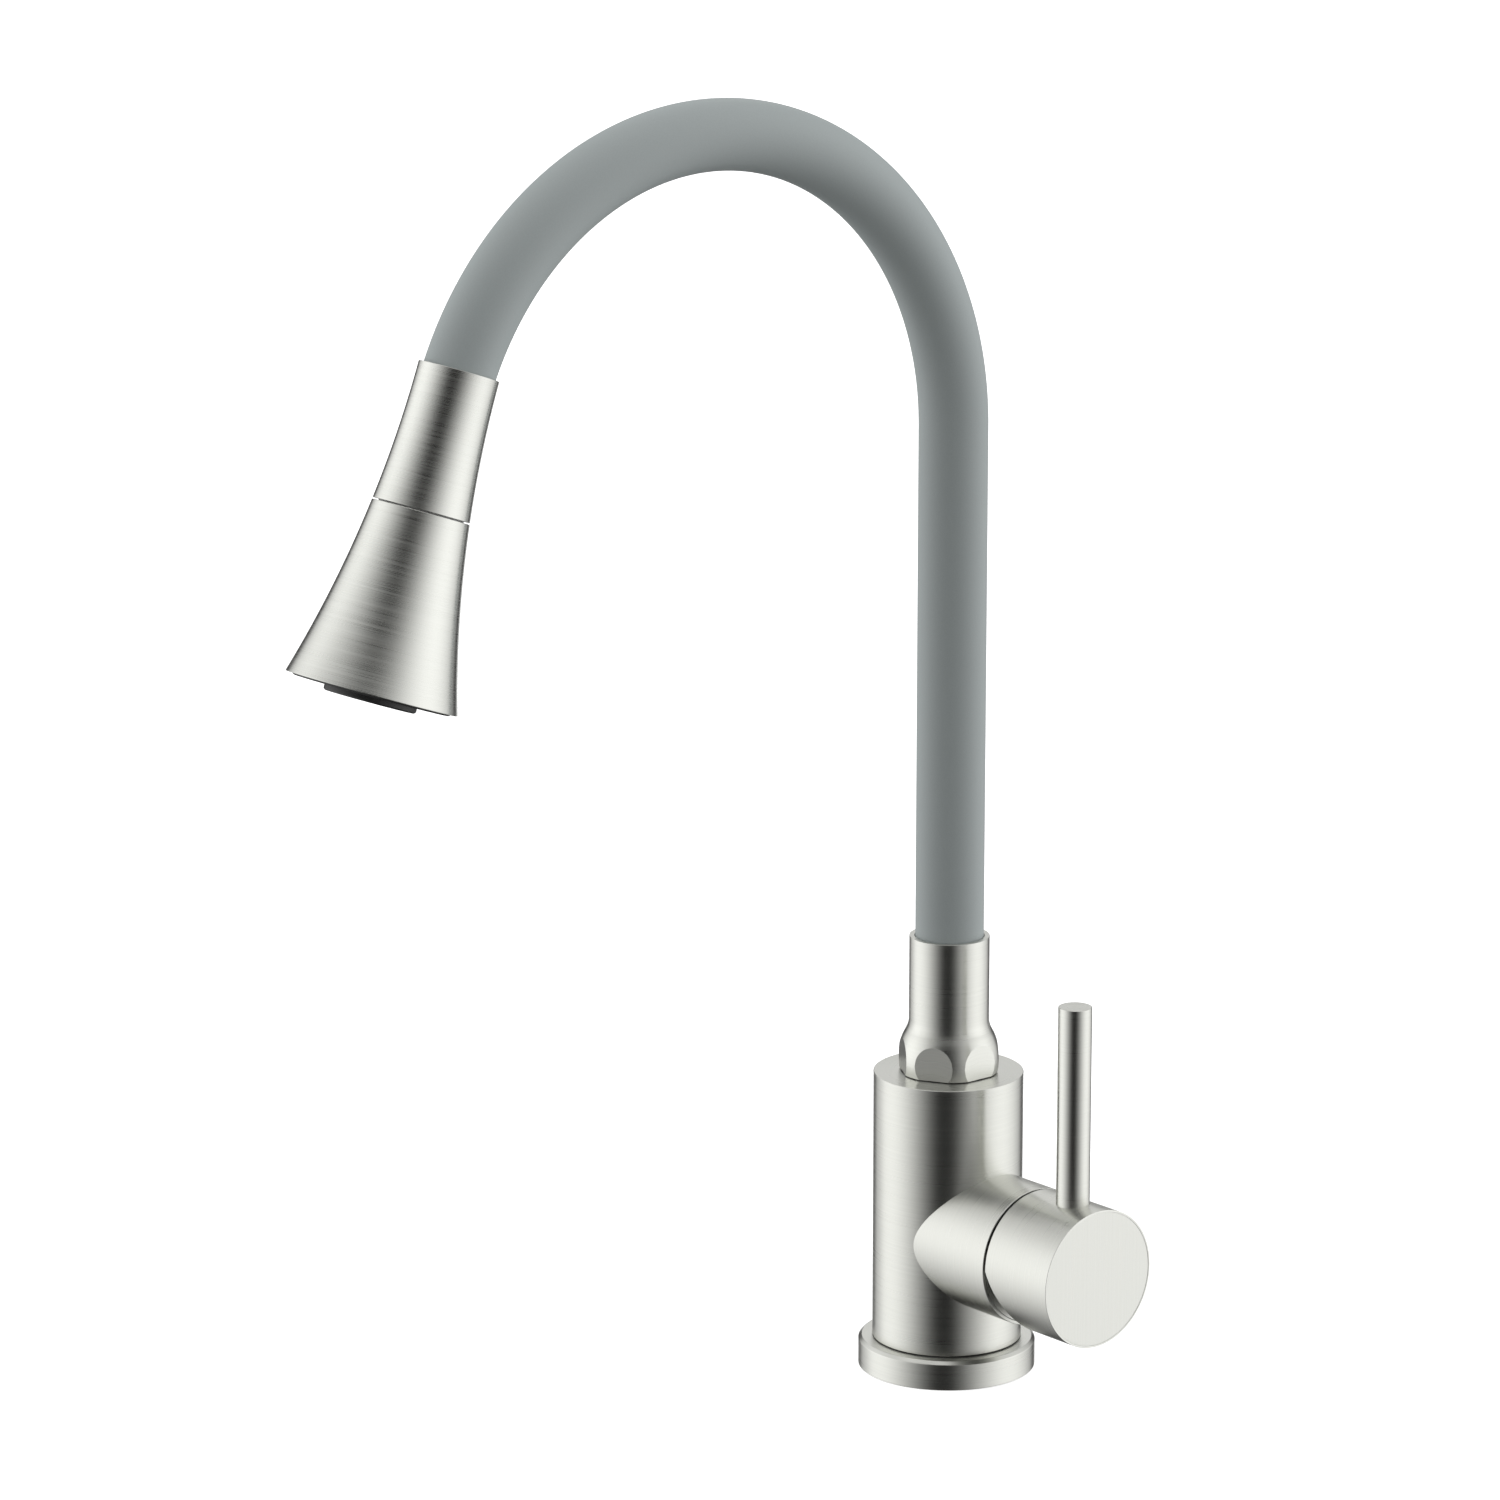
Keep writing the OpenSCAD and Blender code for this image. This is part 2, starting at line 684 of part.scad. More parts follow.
module ferrule() {
    rim_round = 0.5;
    color(metal) difference() {
        rotate_extrude() ferrule_outline();
        translate([0, 0, ferrule_z - eps]) cylinder(r = ferrule_bore_r, h = ferrule_h + 2 * eps);
        translate([0, 0, ferrule_top - rim_round])
            cylinder(r1 = ferrule_bore_r, r2 = ferrule_bore_r + 2 * rim_round, h = 2 * rim_round);
        for (i = [0:5]) rotate([0, 0, 60 * i])
            translate([flats_w / 2, -bulb_d / 2, ferrule_z - eps])
                cube([10, bulb_d, hollow_z - ferrule_z]);
    }
}

// ---------- neck ----------

module neck_foot_fitting() {
    color(brass) difference() {
        union() {
            translate([0, 0, spigot_top - 11]) cylinder(r = fitting_r, h = 11 + seat_gap + eps);
            translate([0, 0, foot_fit_z]) cylinder(r = fitting_flange_r, h = fitting_flange_t);
            translate([0, 0, foot_fit_z]) cylinder(r = barb_r, h = fitting_flange_t + barb_l);
        }
        translate([0, 0, spigot_top - 12]) cylinder(r = barb_bore_r, h = 40);
    }
}

module neck_sleeve_foot() {
    color(silicone) translate([0, 0, neck_start]) ring(neck_r, neck_in_r, flex_z0 - neck_start);
}

module neck_sleeve_flex() {
    color(silicone) translate([0, 0, flex_z0]) ring(neck_r, neck_in_r, flex_z1 - flex_z0);
}

module neck_sleeve_arc() {
    color(silicone) neck_pipe(neck_r, neck_in_r, flex_z1, neck_in_head);
}

module neck_conduit() {
    color(steel) neck_pipe(conduit_r, conduit_r - conduit_wall, neck_start, neck_in_head);
}

module water_tube() {
    color(plastic) neck_pipe(tube_r, tube_in_r, neck_start, neck_in_head);
}

// ---------- spray head ----------

module neck_head_fitting() {
    color(brass) along_head(0) difference() {
        union() {
            cylinder(r = barb_r, h = head_fit_w1);
            translate([0, 0, head_fit_w0]) cylinder(r = fitting_flange_r, h = fitting_flange_t);
            translate([0, 0, head_fit_w0]) cylinder(r = fitting_r, h = fitting_w1 - head_fit_w0);
        }
        translate([0, 0, -eps]) cylinder(r = barb_bore_r, h = 40);
    }
}

module fitting_washer() {
    color(rubber) along_head(fitting_w1 + seat_gap) ring(fitting_r, water_r, washer_w1 - fitting_w1);
}

module head_sleeve() {
    color(metal) along_head(0) difference() {
        rotate_extrude() flare_outline(rim_w, sleeve_w1, 0);
        translate([0, 0, rim_w - eps]) cylinder(r = rim_bore_r, h = rim_up + eps - 0.2);
        translate([0, 0, rim_w - eps]) cylinder(r = sleeve_bore_r, h = insert_w0 - rim_w + eps);
        translate([0, 0, rim_w]) cylinder(r = insert_r + seat_gap, h = sleeve_l);
        translate([0, 0, collar_w0]) cylinder(r = collar_r + seat_gap, h = sleeve_l);
        translate([0, 0, rim_w - 0.3]) cylinder(r1 = rim_bore_r + 0.6, r2 = rim_bore_r, h = 0.6);
    }
}

module head_insert() {
    color(plastic) along_head(0) difference() {
        union() {
            translate([0, 0, insert_w0]) cylinder(r = insert_r, h = collar_w0 - insert_w0 + 1);
            translate([0, 0, collar_w0 + seat_gap])
                cylinder(r = collar_r, h = collar_w1 - collar_w0 - seat_gap);
            translate([0, 0, collar_w1 - 1]) cylinder(r = head_neck_r, h = neck_w1 - collar_w1 + 1);
        }
        translate([0, 0, insert_w0 - eps])
            cylinder(r = fitting_r + seat_gap, h = socket_w1 - insert_w0 + eps);
        translate([0, 0, socket_w1 - eps]) cylinder(r = check_r, h = check_w1 - socket_w1 + eps);
        translate([0, 0, check_w1 - eps]) cylinder(r = 4.5, h = neck_w1);
        translate([0, 0, neck_o_ring_w - neck_o_ring_r - 0.1])
            ring(head_neck_r + eps, head_neck_r - 2 * neck_o_ring_r - 0.05, 2 * neck_o_ring_r + 0.2);
        translate([0, 0, clip_w - 0.05]) ring(head_neck_r + eps, clip_groove_r, clip_t + 0.1);
    }
}

module check_seat() {
    color(plastic) along_head(socket_w1 + seat_gap) ring(check_r - seat_gap, 3.5, seat_t);
}

module check_poppet() {
    color(plastic) along_head(poppet_w0) {
        cylinder(r = 4.2, h = poppet_t);
        cylinder(r = stem_r, h = 7.6);
    }
}

// one coil of round wire, swept as rings of points along a helix
module check_spring() {
    wire_r = 0.3;
    coil_r = 2.8;
    turns = 3;
    steps = 20;
    sides = 6;
    free_h = guide_w0 - poppet_w0 - poppet_t - 2 * wire_r - 0.1;
    count = turns * steps;
    points = [for (i = [0:count]) for (k = [0:sides - 1])
        let (a = 360 * i / steps, b = 360 * k / sides, r = coil_r + wire_r * cos(b))
        [r * cos(a), r * sin(a), free_h * i / count + wire_r * sin(b)]];
    walls = [for (i = [0:count - 1]) for (k = [0:sides - 1])
        let (p = i * sides + k, q = i * sides + (k + 1) % sides)
        [p, p + sides, q + sides, q]];
    first = [for (k = [0:sides - 1]) k];
    last = [for (k = [sides - 1:-1:0]) count * sides + k];
    color(steel) along_head(poppet_w0 + poppet_t + wire_r + 0.05)
        polyhedron(points = points, faces = concat(walls, [first, last]));
}

module check_guide() {
    color(plastic) along_head(guide_w0) difference() {
        cylinder(r = check_r - seat_gap, h = guide_t);
        translate([0, 0, -eps]) cylinder(r = stem_r + run_gap, h = guide_t + 2 * eps);
        for (a = [0:90:270]) rotate([0, 0, a]) translate([4.1, 0, -eps])
            cylinder(r = 1.5, h = guide_t + 2 * eps);
    }
}

module wave_washer() {
    color(steel) along_head(collar_w1 + seat_gap) ring(collar_r - 0.4, head_neck_r + 0.3, washer_l);
}

module insert_o_ring() {
    color(rubber) along_head(neck_o_ring_w) o_ring(head_neck_r - neck_o_ring_r, neck_o_ring_r);
}

module bell_circlip() {
    color(steel) along_head(clip_w) difference() {
        ring(head_neck_r + 1.5, clip_groove_r + 0.05, clip_t);
        translate([0, -2, -eps]) cube([20, 4, clip_t + 2 * eps]);
    }
}

module head_bell() {
    color(metal) along_head(0) difference() {
        rotate_extrude() flare_outline(bell_w0, bell_w1, 0);
        translate([0, 0, bell_w0 - eps]) cylinder(r = collar_r + run_gap, h = core_w0 - bell_w0 + 1);
        rotate_extrude() flare_outline(core_w0 - seat_gap, bell_w1 + eps, bell_wall);
        translate([0, 0, lip_w - seat_gap]) cylinder(r = face_r + seat_gap, h = 20);
    }
}

module diverter_core() {
    color(plastic) along_head(0) difference() {
        union() {
            translate([0, 0, core_w0]) cylinder(r = core_r, h = core_step_w - core_w0 + 1);
            translate([0, 0, core_step_w]) cylinder(r = core_mid_r, h = core_flange_w - core_step_w + 1);
            translate([0, 0, core_flange_w]) cylinder(r = core_flange_r, h = core_w1 - core_flange_w);
        }
        translate([0, 0, core_w0 - eps])
            cylinder(r = head_neck_r + run_gap, h = core_floor_w - core_w0 + 2 * eps);
        translate([0, 0, core_floor_w]) cylinder(r = 11.5, h = core_room_w - core_floor_w);
        translate([0, 0, core_room_w - 2.4]) cylinder(r = core_mid_r - 1.2, h = 2.4);
        cylinder(r = 5, h = core_w1);
        translate([0, 0, aerator_w0 - 0.1]) cylinder(r = aerator_neck_r + seat_gap, h = 30);
        translate([0, 0, core_w1 - 1.4]) ring(20.4, aerator_r + 0.6, 2);
        for (a = [0:60:300]) rotate([0, 0, a]) translate([14.9, 0, core_room_w - 1])
            cylinder(r = 0.8, h = 30);
    }
}

module nozzles(r, w, h) {
    for (row = nozzle_rows) for (i = [0:row[0] - 1])
        rotate([0, 0, 360 * i / row[0]]) translate([row[1], 0, w]) cylinder(r = r, h = h, $fn = 32);
}

module nozzle_membrane() {
    color(silicone) along_head(0) difference() {
        union() {
            translate([0, 0, membrane_w0]) ring(22, aerator_r + 0.2, face_w0 - seat_gap - membrane_w0);
            nozzles(nozzle_r, face_w0 - 0.3, face_w1 - nozzle_in - face_w0 + 0.3);
        }
        nozzles(nozzle_r / 2, membrane_w0 - eps, 20);
    }
}

module spray_faceplate() {
    edge = 0.4;
    color(dark) along_head(0) difference() {
        union() {
            translate([0, 0, face_w0]) cylinder(r = face_in_r, h = face_w1 - face_w0 - 1);
            translate([0, 0, lip_w]) cylinder(r = face_r, h = face_w1 - edge - lip_w);
            translate([0, 0, face_w1 - edge]) cylinder(r1 = face_r, r2 = face_r - edge, h = edge);
        }
        translate([0, 0, face_w0 - eps]) cylinder(r = aerator_r + seat_gap, h = 20);
        nozzles(nozzle_r + seat_gap, face_w0 - eps, 20);
    }
}

module aerator_housing() {
    edge = 0.5;
    color(dark) along_head(0) difference() {
        union() {
            translate([0, 0, aerator_w0]) cylinder(r = aerator_neck_r, h = core_w1 + 1 - aerator_w0);
            translate([0, 0, core_w1 + seat_gap])
                cylinder(r = aerator_r, h = aerator_w1 - edge - core_w1 - seat_gap);
            translate([0, 0, aerator_w1 - edge]) cylinder(r1 = aerator_r, r2 = aerator_r - edge, h = edge);
        }
        translate([0, 0, aerator_w0 - eps])
            cylinder(r = aerator_bore_r, h = aerator_w1 - aerator_lip - aerator_w0 + eps);
        translate([0, 0, aerator_w0]) cylinder(r = aerator_bore_r - 0.8, h = 40);
    }
}

module aerator_insert() {
    color(plastic) along_head(0) difference() {
        translate([0, 0, screen_w1 - screen_t - 9]) cylinder(r = aerator_bore_r - seat_gap, h = 8.9);
        for (row = [[6, 3.4], [12, 7]]) for (i = [0:row[0] - 1])
            rotate([0, 0, 360 * i / row[0]]) translate([row[1], 0, aerator_w0]) cylinder(r = 1.2, h = 40);
    }
}

module aerator_screen() {
    bar = 0.5;
    pitch = 2.5;
    reach = 9;
    color(steel) along_head(screen_w1 - screen_t) {
        ring(aerator_bore_r - seat_gap, aerator_bore_r - 1.4, screen_t);
        intersection() {
            cylinder(r = aerator_bore_r - 1, h = screen_t);
            for (i = [-3:3]) {
                translate([i * pitch - bar / 2, -reach - 1, 0]) cube([bar, 2 * reach + 2, screen_t]);
                translate([-reach - 1, i * pitch - bar / 2, 0]) cube([2 * reach + 2, bar, screen_t]);
            }
        }
    }
}

base_flange();
base_seal();
body_gasket();
faucet_body();
cartridge_housing();
cartridge_base();
cartridge_seals();
fixed_disc();
retaining_nut();
dome_ring();
thrust_washer();
swivel_bushes();
swivel_screw();
turret();
pivot_pin();
spindle();
disc_carrier();
moving_disc();
handle_hub();
handle_cap();
lever_rod();
grub_screw();
screw_plug();
ferrule();
swivel_spigot();
spigot_o_rings();
neck_foot_fitting();
neck_sleeve_foot();
neck_sleeve_flex();
neck_sleeve_arc();
neck_conduit();
water_tube();
neck_head_fitting();
fitting_washer();
head_sleeve();
head_insert();
check_seat();
check_poppet();
check_spring();
check_guide();
wave_washer();
insert_o_ring();
bell_circlip();
head_bell();
diverter_core();
nozzle_membrane();
spray_faceplate();
aerator_housing();
aerator_insert();
aerator_screen();
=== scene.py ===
import json
import math

import bmesh
import bpy
import numpy as np
from mathutils import Matrix, Vector


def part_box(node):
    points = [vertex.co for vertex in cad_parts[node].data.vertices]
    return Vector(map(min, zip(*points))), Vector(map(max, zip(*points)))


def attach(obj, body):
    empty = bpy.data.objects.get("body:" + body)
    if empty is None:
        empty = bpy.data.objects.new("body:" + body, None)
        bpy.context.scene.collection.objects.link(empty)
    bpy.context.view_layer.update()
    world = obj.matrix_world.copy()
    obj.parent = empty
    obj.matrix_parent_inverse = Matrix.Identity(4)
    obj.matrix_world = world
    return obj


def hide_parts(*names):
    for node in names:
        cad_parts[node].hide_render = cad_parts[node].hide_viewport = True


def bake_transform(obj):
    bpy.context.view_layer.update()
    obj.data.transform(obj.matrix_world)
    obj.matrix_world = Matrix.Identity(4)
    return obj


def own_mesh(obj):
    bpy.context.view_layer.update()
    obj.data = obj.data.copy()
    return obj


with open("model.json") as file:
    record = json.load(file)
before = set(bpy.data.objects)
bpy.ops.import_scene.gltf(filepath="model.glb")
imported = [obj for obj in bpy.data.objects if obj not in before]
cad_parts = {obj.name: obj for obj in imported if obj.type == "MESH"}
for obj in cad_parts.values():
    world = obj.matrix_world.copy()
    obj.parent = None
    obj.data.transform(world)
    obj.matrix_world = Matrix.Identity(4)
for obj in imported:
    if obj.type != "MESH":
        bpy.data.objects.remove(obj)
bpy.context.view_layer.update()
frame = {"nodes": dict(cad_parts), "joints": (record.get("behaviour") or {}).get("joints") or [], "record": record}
MM = 0.001

# ---------------------------------------------------------------- sizes, in metres
# A size that the frame holds is read from it. The others repeat sizes of the CAD model.

flange_lo, flange_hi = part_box("base_flange")
body_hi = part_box("faucet_body")[1]
gasket_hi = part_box("body_gasket")[1]
hub_lo, hub_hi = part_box("handle_hub")
cap_lo, cap_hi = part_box("handle_cap")
rod_lo, rod_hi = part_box("lever_rod")
ferrule_lo, ferrule_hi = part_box("ferrule")
foot_lo, foot_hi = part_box("neck_sleeve_foot")
joints = {joint["name"]: joint for joint in frame["joints"]}

BODY_R = body_hi.y
BODY_TOP = body_hi.z
BODY_FOOT = gasket_hi.z
FOOT_SPIGOT_R = 22.95 * MM
SWIVEL_BORE_R = 13.5 * MM
SWIVEL_FLOOR = BODY_TOP - 26.2 * MM
STUB_X = body_hi.x
HANDLE_Z = (hub_lo.z + hub_hi.z) / 2
HUB_R = (hub_hi.y - hub_lo.y) / 2
HUB_BACK = hub_lo.x
HUB_END = hub_hi.x
HUB_WALL = 1.275 * MM
TILT = math.radians(joints["handle_tilt"]["range_deg"][1])
PIVOT_X = joints["handle_tilt"]["pos_m"][0]
CAP_R = (cap_hi.y - cap_lo.y) / 2
DOME_R = HUB_R - HUB_WALL - 0.4 * MM
DOME_WALL = 1.3 * MM
ROD_R = (rod_hi.y - rod_lo.y) / 2
ROD_X = (rod_lo.x + rod_hi.x) / 2
ROD_FOOT = HANDLE_Z + 13.05 * MM

FERRULE_R = 12.8 * MM
FERRULE_BORE_R = 11.1 * MM
BULB_MAX_R = ferrule_hi.y
BULB_Z = BODY_TOP + 4.6 * MM
BULB_ROUND = 18 * MM
BULB_TURN = math.radians(30)
FLAT_APOTHEM = ferrule_hi.x

NECK_R = (foot_hi.x - foot_lo.x) / 2
NECK_IN_R = NECK_R - 1.9 * MM
NECK_START = foot_lo.z
BEND_START = 307.5 * MM
BEND_R = 100.5 * MM
BEND_END = Vector(joints["spray_select"]["pos_m"])
HEAD_AXIS = Vector(joints["spray_select"]["axis"]).normalized()
BEND_ANGLE = math.acos(HEAD_AXIS.z)
NECK_IN_HEAD = 14 * MM

HEAD_RIM = -6.2 * MM
HEAD_RIM_R = 12.2 * MM
FLARE_R = 350 * MM
SLEEVE_END = 35.825 * MM
BELL_START = 36.275 * MM
BELL_END = 91.2 * MM
BELL_WALL = 1.6 * MM
COLLAR_R = 12.85 * MM
CORE_START = 48.65 * MM
FACE_LIP = 89.6 * MM
FACE_R = 23.9 * MM

SEGMENTS = 256

# local +Z up, round the body's axis
UPRIGHT = Matrix.Identity(4)
# local +Z along the handle's axis, local +X down
ALONG_HANDLE = Matrix.Translation((0, 0, HANDLE_Z)) @ Matrix.Rotation(math.pi / 2, 4, "Y")
# local +Z down the spray head's axis, local +X sideways
ALONG_HEAD = Matrix.Translation(BEND_END) @ Matrix.Rotation(BEND_ANGLE, 4, "X")


# ---------------------------------------------------------------- turned shapes
# A profile is a list of strips. A strip is a smooth run of samples (radius, height, normal's
# radial part, normal's height part). The outside lies to the right of the direction of travel.


def straight(p, q):
    """The strip from p to q, each (radius, height)."""
    length = math.hypot(q[0] - p[0], q[1] - p[1])
    n = ((q[1] - p[1]) / length, (p[0] - q[0]) / length)
    return [(*p, *n), (*q, *n)]


def chain(corners, steps=5):
    """Straight strips through corners (radius, height[, rounding]), an arc at each rounded one."""
    strips = []
    here = corners[0][:2]
    for i in range(1, len(corners)):
        there = corners[i][:2]
        rounding = corners[i][2] if len(corners[i]) > 2 and i + 1 < len(corners) else 0
        if not rounding:
            strips.append(straight(here, there))
            here = there
            continue
        after = corners[i + 1][:2]
        a = np.subtract(there, here) / np.linalg.norm(np.subtract(there, here))
        b = np.subtract(after, there) / np.linalg.norm(np.subtract(after, there))
        turn = math.atan2(a[0] * b[1] - a[1] * b[0], a @ b)
        back_off = rounding * abs(math.tan(turn / 2))
        begin = np.array(there) - a * back_off
        sign = math.copysign(1, turn)
        n0 = np.array((a[1], -a[0]))
        centre = begin - n0 * rounding * sign
        arc = []
        for k in range(steps + 1):
            angle = turn * k / steps
            n = (
                n0[0] * math.cos(angle) - n0[1] * math.sin(angle),
                n0[0] * math.sin(angle) + n0[1] * math.cos(angle),
            )
            out = rounding * sign
            arc.append((centre[0] + n[0] * out, centre[1] + n[1] * out, *n))
        strips.append(straight(here, tuple(begin)))
        strips.append(arc)
        here = arc[-1][:2]
    return strips


def arc_strip(centre, radius, start, end, pieces, outside=1):
    """An arc about centre from angle start to end. 0 points outwards, 90 degrees up the axis."""
    strip = []
    for i in range(pieces + 1):
        angle = start + (end - start) * i / pieces
        c, s = math.cos(angle), math.sin(angle)
        strip.append((centre[0] + radius * c, centre[1] + radius * s, c * outside, s * outside))
    return strip


def distinct(corners):
    """A face's corners, each starting with its vertex, without repeats of the same vertex."""
    kept = []
    for corner in corners:
        if corner[0] not in [other[0] for other in kept]:
            kept.append(corner)
    return kept


def lathe(name, strips, placement, segments=SEGMENTS, shift=None, planar=False, finishes=()):
    """A closed turned solid. shift(radius, angle, height) moves a sample along the axis.
    finishes lists the strips whose material is not the first: (first strip, last strip, material).
    """
    angles = [2 * math.pi * k / segments for k in range(segments)]
    points, rings = [], {}

    def ring_at(r, w):
        key = (round(r * 1e7), round(w * 1e7))
        if key in rings:
            return rings[key]
        ring = []
        on_axis = r < 1e-7
        for a in angles:
            if on_axis and ring:
                ring.append(ring[0])
                continue
            ring.append(len(points))
            height = shift(r, a, w) if shift else w
            points.append((r * math.cos(a), r * math.sin(a), height))
        rings[key] = ring
        return ring

    faces, normals, uvs, face_finishes = [], [], [], []
    length = 0.0
    for number, strip in enumerate(strips):
        finish = sum(m for first, last, m in finishes if first <= number <= last)
        for low, high in zip(strip, strip[1:]):
            below, above = ring_at(*low[:2]), ring_at(*high[:2])
            begin = length
            length += math.hypot(high[0] - low[0], high[1] - low[1])
            if below is above:
                continue
            for k in range(segments):
                m = (k + 1) % segments
                corners = [
                    (below[k], low, begin, k),
                    (below[m], low, begin, k + 1),
                    (above[m], high, length, k + 1),
                    (above[k], high, length, k),
                ]
                kept = distinct(corners)
                if len(kept) < 3:
                    continue
                faces.append([corner[0] for corner in kept])
                face_finishes.append(finish)
                for vertex, (_, _, nr, nw), along, step in kept:
                    a = 2 * math.pi * step / segments
                    normals.append((nr * math.cos(a), nr * math.sin(a), nw))
                    across = (points[vertex][1], points[vertex][0])
                    uvs.append(across if planar else (along, step / segments))
    turned = mesh_object(name, points, faces, placement, normals, uvs)
    turned.data.polygons.foreach_set("material_index", face_finishes)
    return turned


def mesh_object(name, points, faces, placement, normals=None, uvs=None):
    """A smooth-shaded object. normals and uvs have an entry for each face's each corner."""
    mesh = bpy.data.meshes.new(name)
    mesh.from_pydata([tuple(p) for p in points], [], faces)
    mesh.polygons.foreach_set("use_smooth", [True] * len(mesh.polygons))
    if uvs:
        layer = mesh.uv_layers.new(name="brush")
        layer.data.foreach_set("uv", np.array(uvs, np.float32).ravel())
    if normals:
        mesh.normals_split_custom_set(normals)
    mesh.validate(clean_customdata=False)
    mesh.update()
    obj = bpy.data.objects.new(name, mesh)
    bpy.context.scene.collection.objects.link(obj)
    obj.matrix_world = placement
    return obj


# ---------------------------------------------------------------- neck route


def route(start, end_length, step):
    """Points and directions along the neck: up, round the bend and on into the head."""
    stations = []
    straight_steps = max(1, round((BEND_START - start) / step))
    for i in range(straight_steps):
        z = start + (BEND_START - start) * i / straight_steps
        stations.append((Vector((0, 0, z)), Vector((0, 0, 1))))
    bend_steps = round(BEND_R * BEND_ANGLE / step)
    for i in range(bend_steps + 1):
        a = BEND_ANGLE * i / bend_steps
        point = Vector((0, -BEND_R * (1 - math.cos(a)), BEND_START + BEND_R * math.sin(a)))
        stations.append((point, Vector((0, -math.sin(a), math.cos(a)))))
    last = max(2, round(end_length / step))
    for i in range(1, last + 1):
        stations.append((BEND_END + HEAD_AXIS * end_length * i / last, HEAD_AXIS.copy()))
    return stations


def swept_tube(name, stations, outer, inner, segments):
    """A closed tube along the stations. outer and inner give the radius at a distance along it."""
    side = Vector((1, 0, 0))
    points, faces, uvs = [], [], []
    distance = [0.0]
    for i in range(1, len(stations)):
        distance.append(distance[-1] + (stations[i][0] - stations[i - 1][0]).length)
    order = [(i, outer) for i in range(len(stations))]
    order += [(i, inner) for i in reversed(range(len(stations)))]
    for i, radius in order:
        point, along = stations[i]
        other = along.cross(side)
        for k in range(segments):
            a = 2 * math.pi * k / segments
            points.append(point + (side * math.cos(a) + other * math.sin(a)) * radius(distance[i]))
    rows = len(order)
    for i in range(rows):
        j = (i + 1) % rows
        for k in range(segments):
            m = (k + 1) % segments
            faces.append([i * segments + k, i * segments + m, j * segments + m, j * segments + k])
            u0, u1 = distance[order[i][0]], distance[order[j][0]]
            v0, v1 = k / segments, (k + 1) / segments
            uvs += [(u0, v0), (u0, v1), (u1, v1), (u1, v0)]
    obj = mesh_object(name, points, faces, UPRIGHT, None, uvs)
    obj.data.set_sharp_from_angle(angle=math.radians(50))
    return obj


# ---------------------------------------------------------------- materials


def new_material(name):
    material = bpy.data.materials.new(name)
    material.use_nodes = True
    nodes = material.node_tree.nodes
    return material, nodes, material.node_tree.links, nodes["Principled BSDF"]


# Nearly all of a noise's values lie between these two.
NOISE_LOW, NOISE_HIGH = 0.3, 0.7
BUMP_DEPTH = 0.02 * MM


def even_noise(nodes, links, grain):
    """Noise that is alike in all directions: grain is its repeats per metre."""
    place = nodes.new("ShaderNodeTexCoord")
    noise = nodes.new("ShaderNodeTexNoise")
    noise.inputs["Scale"].default_value = grain
    noise.inputs["Detail"].default_value = 3.0
    links.new(place.outputs["Object"], noise.inputs["Vector"])
    return noise.outputs["Fac"]


def spread(nodes, links, value, low, high):
    """A noise value stretched to run from low to high."""
    ramp = nodes.new("ShaderNodeMapRange")
    ramp.inputs["From Min"].default_value = NOISE_LOW
    ramp.inputs["From Max"].default_value = NOISE_HIGH
    ramp.inputs["To Min"].default_value = low
    ramp.inputs["To Max"].default_value = high
    links.new(value, ramp.inputs["Value"])
    return ramp.outputs["Result"]


def two_tone(nodes, links, value, dark, light):
    """A colour from dark to light with a noise value."""
    ramp = nodes.new("ShaderNodeValToRGB")
    ends = ((NOISE_LOW, dark), (NOISE_HIGH, light))
    for element, (position, colour) in zip(ramp.color_ramp.elements, ends):
        element.position = position
        element.color = (*colour, 1)
    links.new(value, ramp.inputs["Fac"])
    return ramp.outputs["Color"]


def add_bump(nodes, links, shader, value, strength):
    bump = nodes.new("ShaderNodeBump")
    bump.inputs["Strength"].default_value = strength
    bump.inputs["Distance"].default_value = BUMP_DEPTH
    links.new(value, bump.inputs["Height"])
    links.new(bump.outputs["Normal"], shader.inputs["Normal"])


def streaks(nodes, links, around, along, turned=True):
    """Noise like brush marks. They run round the local Z axis where turned, else along local X
    and Z. around and along are the repeats per metre along the marks and across them."""
    place = nodes.new("ShaderNodeTexCoord")
    axes = nodes.new("ShaderNodeSeparateXYZ")
    links.new(place.outputs["Object"], axes.inputs["Vector"])
    stretched = nodes.new("ShaderNodeCombineXYZ")

    def scaled(value, scale, socket):
        times = nodes.new("ShaderNodeMath")
        times.operation = "MULTIPLY"
        times.inputs[1].default_value = scale
        links.new(value, times.inputs[0])
        links.new(times.outputs[0], stretched.inputs[socket])

    if turned:
        flat = nodes.new("ShaderNodeVectorMath")
        flat.operation = "MULTIPLY"
        flat.inputs[1].default_value = (1, 1, 0)
        links.new(place.outputs["Object"], flat.inputs[0])
        radius = nodes.new("ShaderNodeVectorMath")
        radius.operation = "LENGTH"
        links.new(flat.outputs[0], radius.inputs[0])
        run = nodes.new("ShaderNodeMath")
        links.new(radius.outputs["Value"], run.inputs[0])
        links.new(axes.outputs["Z"], run.inputs[1])
        scaled(axes.outputs["X"], around, "X")
        scaled(axes.outputs["Y"], around, "Y")
        scaled(run.outputs[0], along, "Z")
    else:
        scaled(axes.outputs["X"], around, "X")
        scaled(axes.outputs["Y"], along, "Y")
        scaled(axes.outputs["Z"], around, "Z")
    noise = nodes.new("ShaderNodeTexNoise")
    noise.inputs["Scale"].default_value = 1.0
    noise.inputs["Detail"].default_value = 4.0
    noise.inputs["Roughness"].default_value = 0.72
    links.new(stretched.outputs["Vector"], noise.inputs["Vector"])
    return noise.outputs["Fac"]


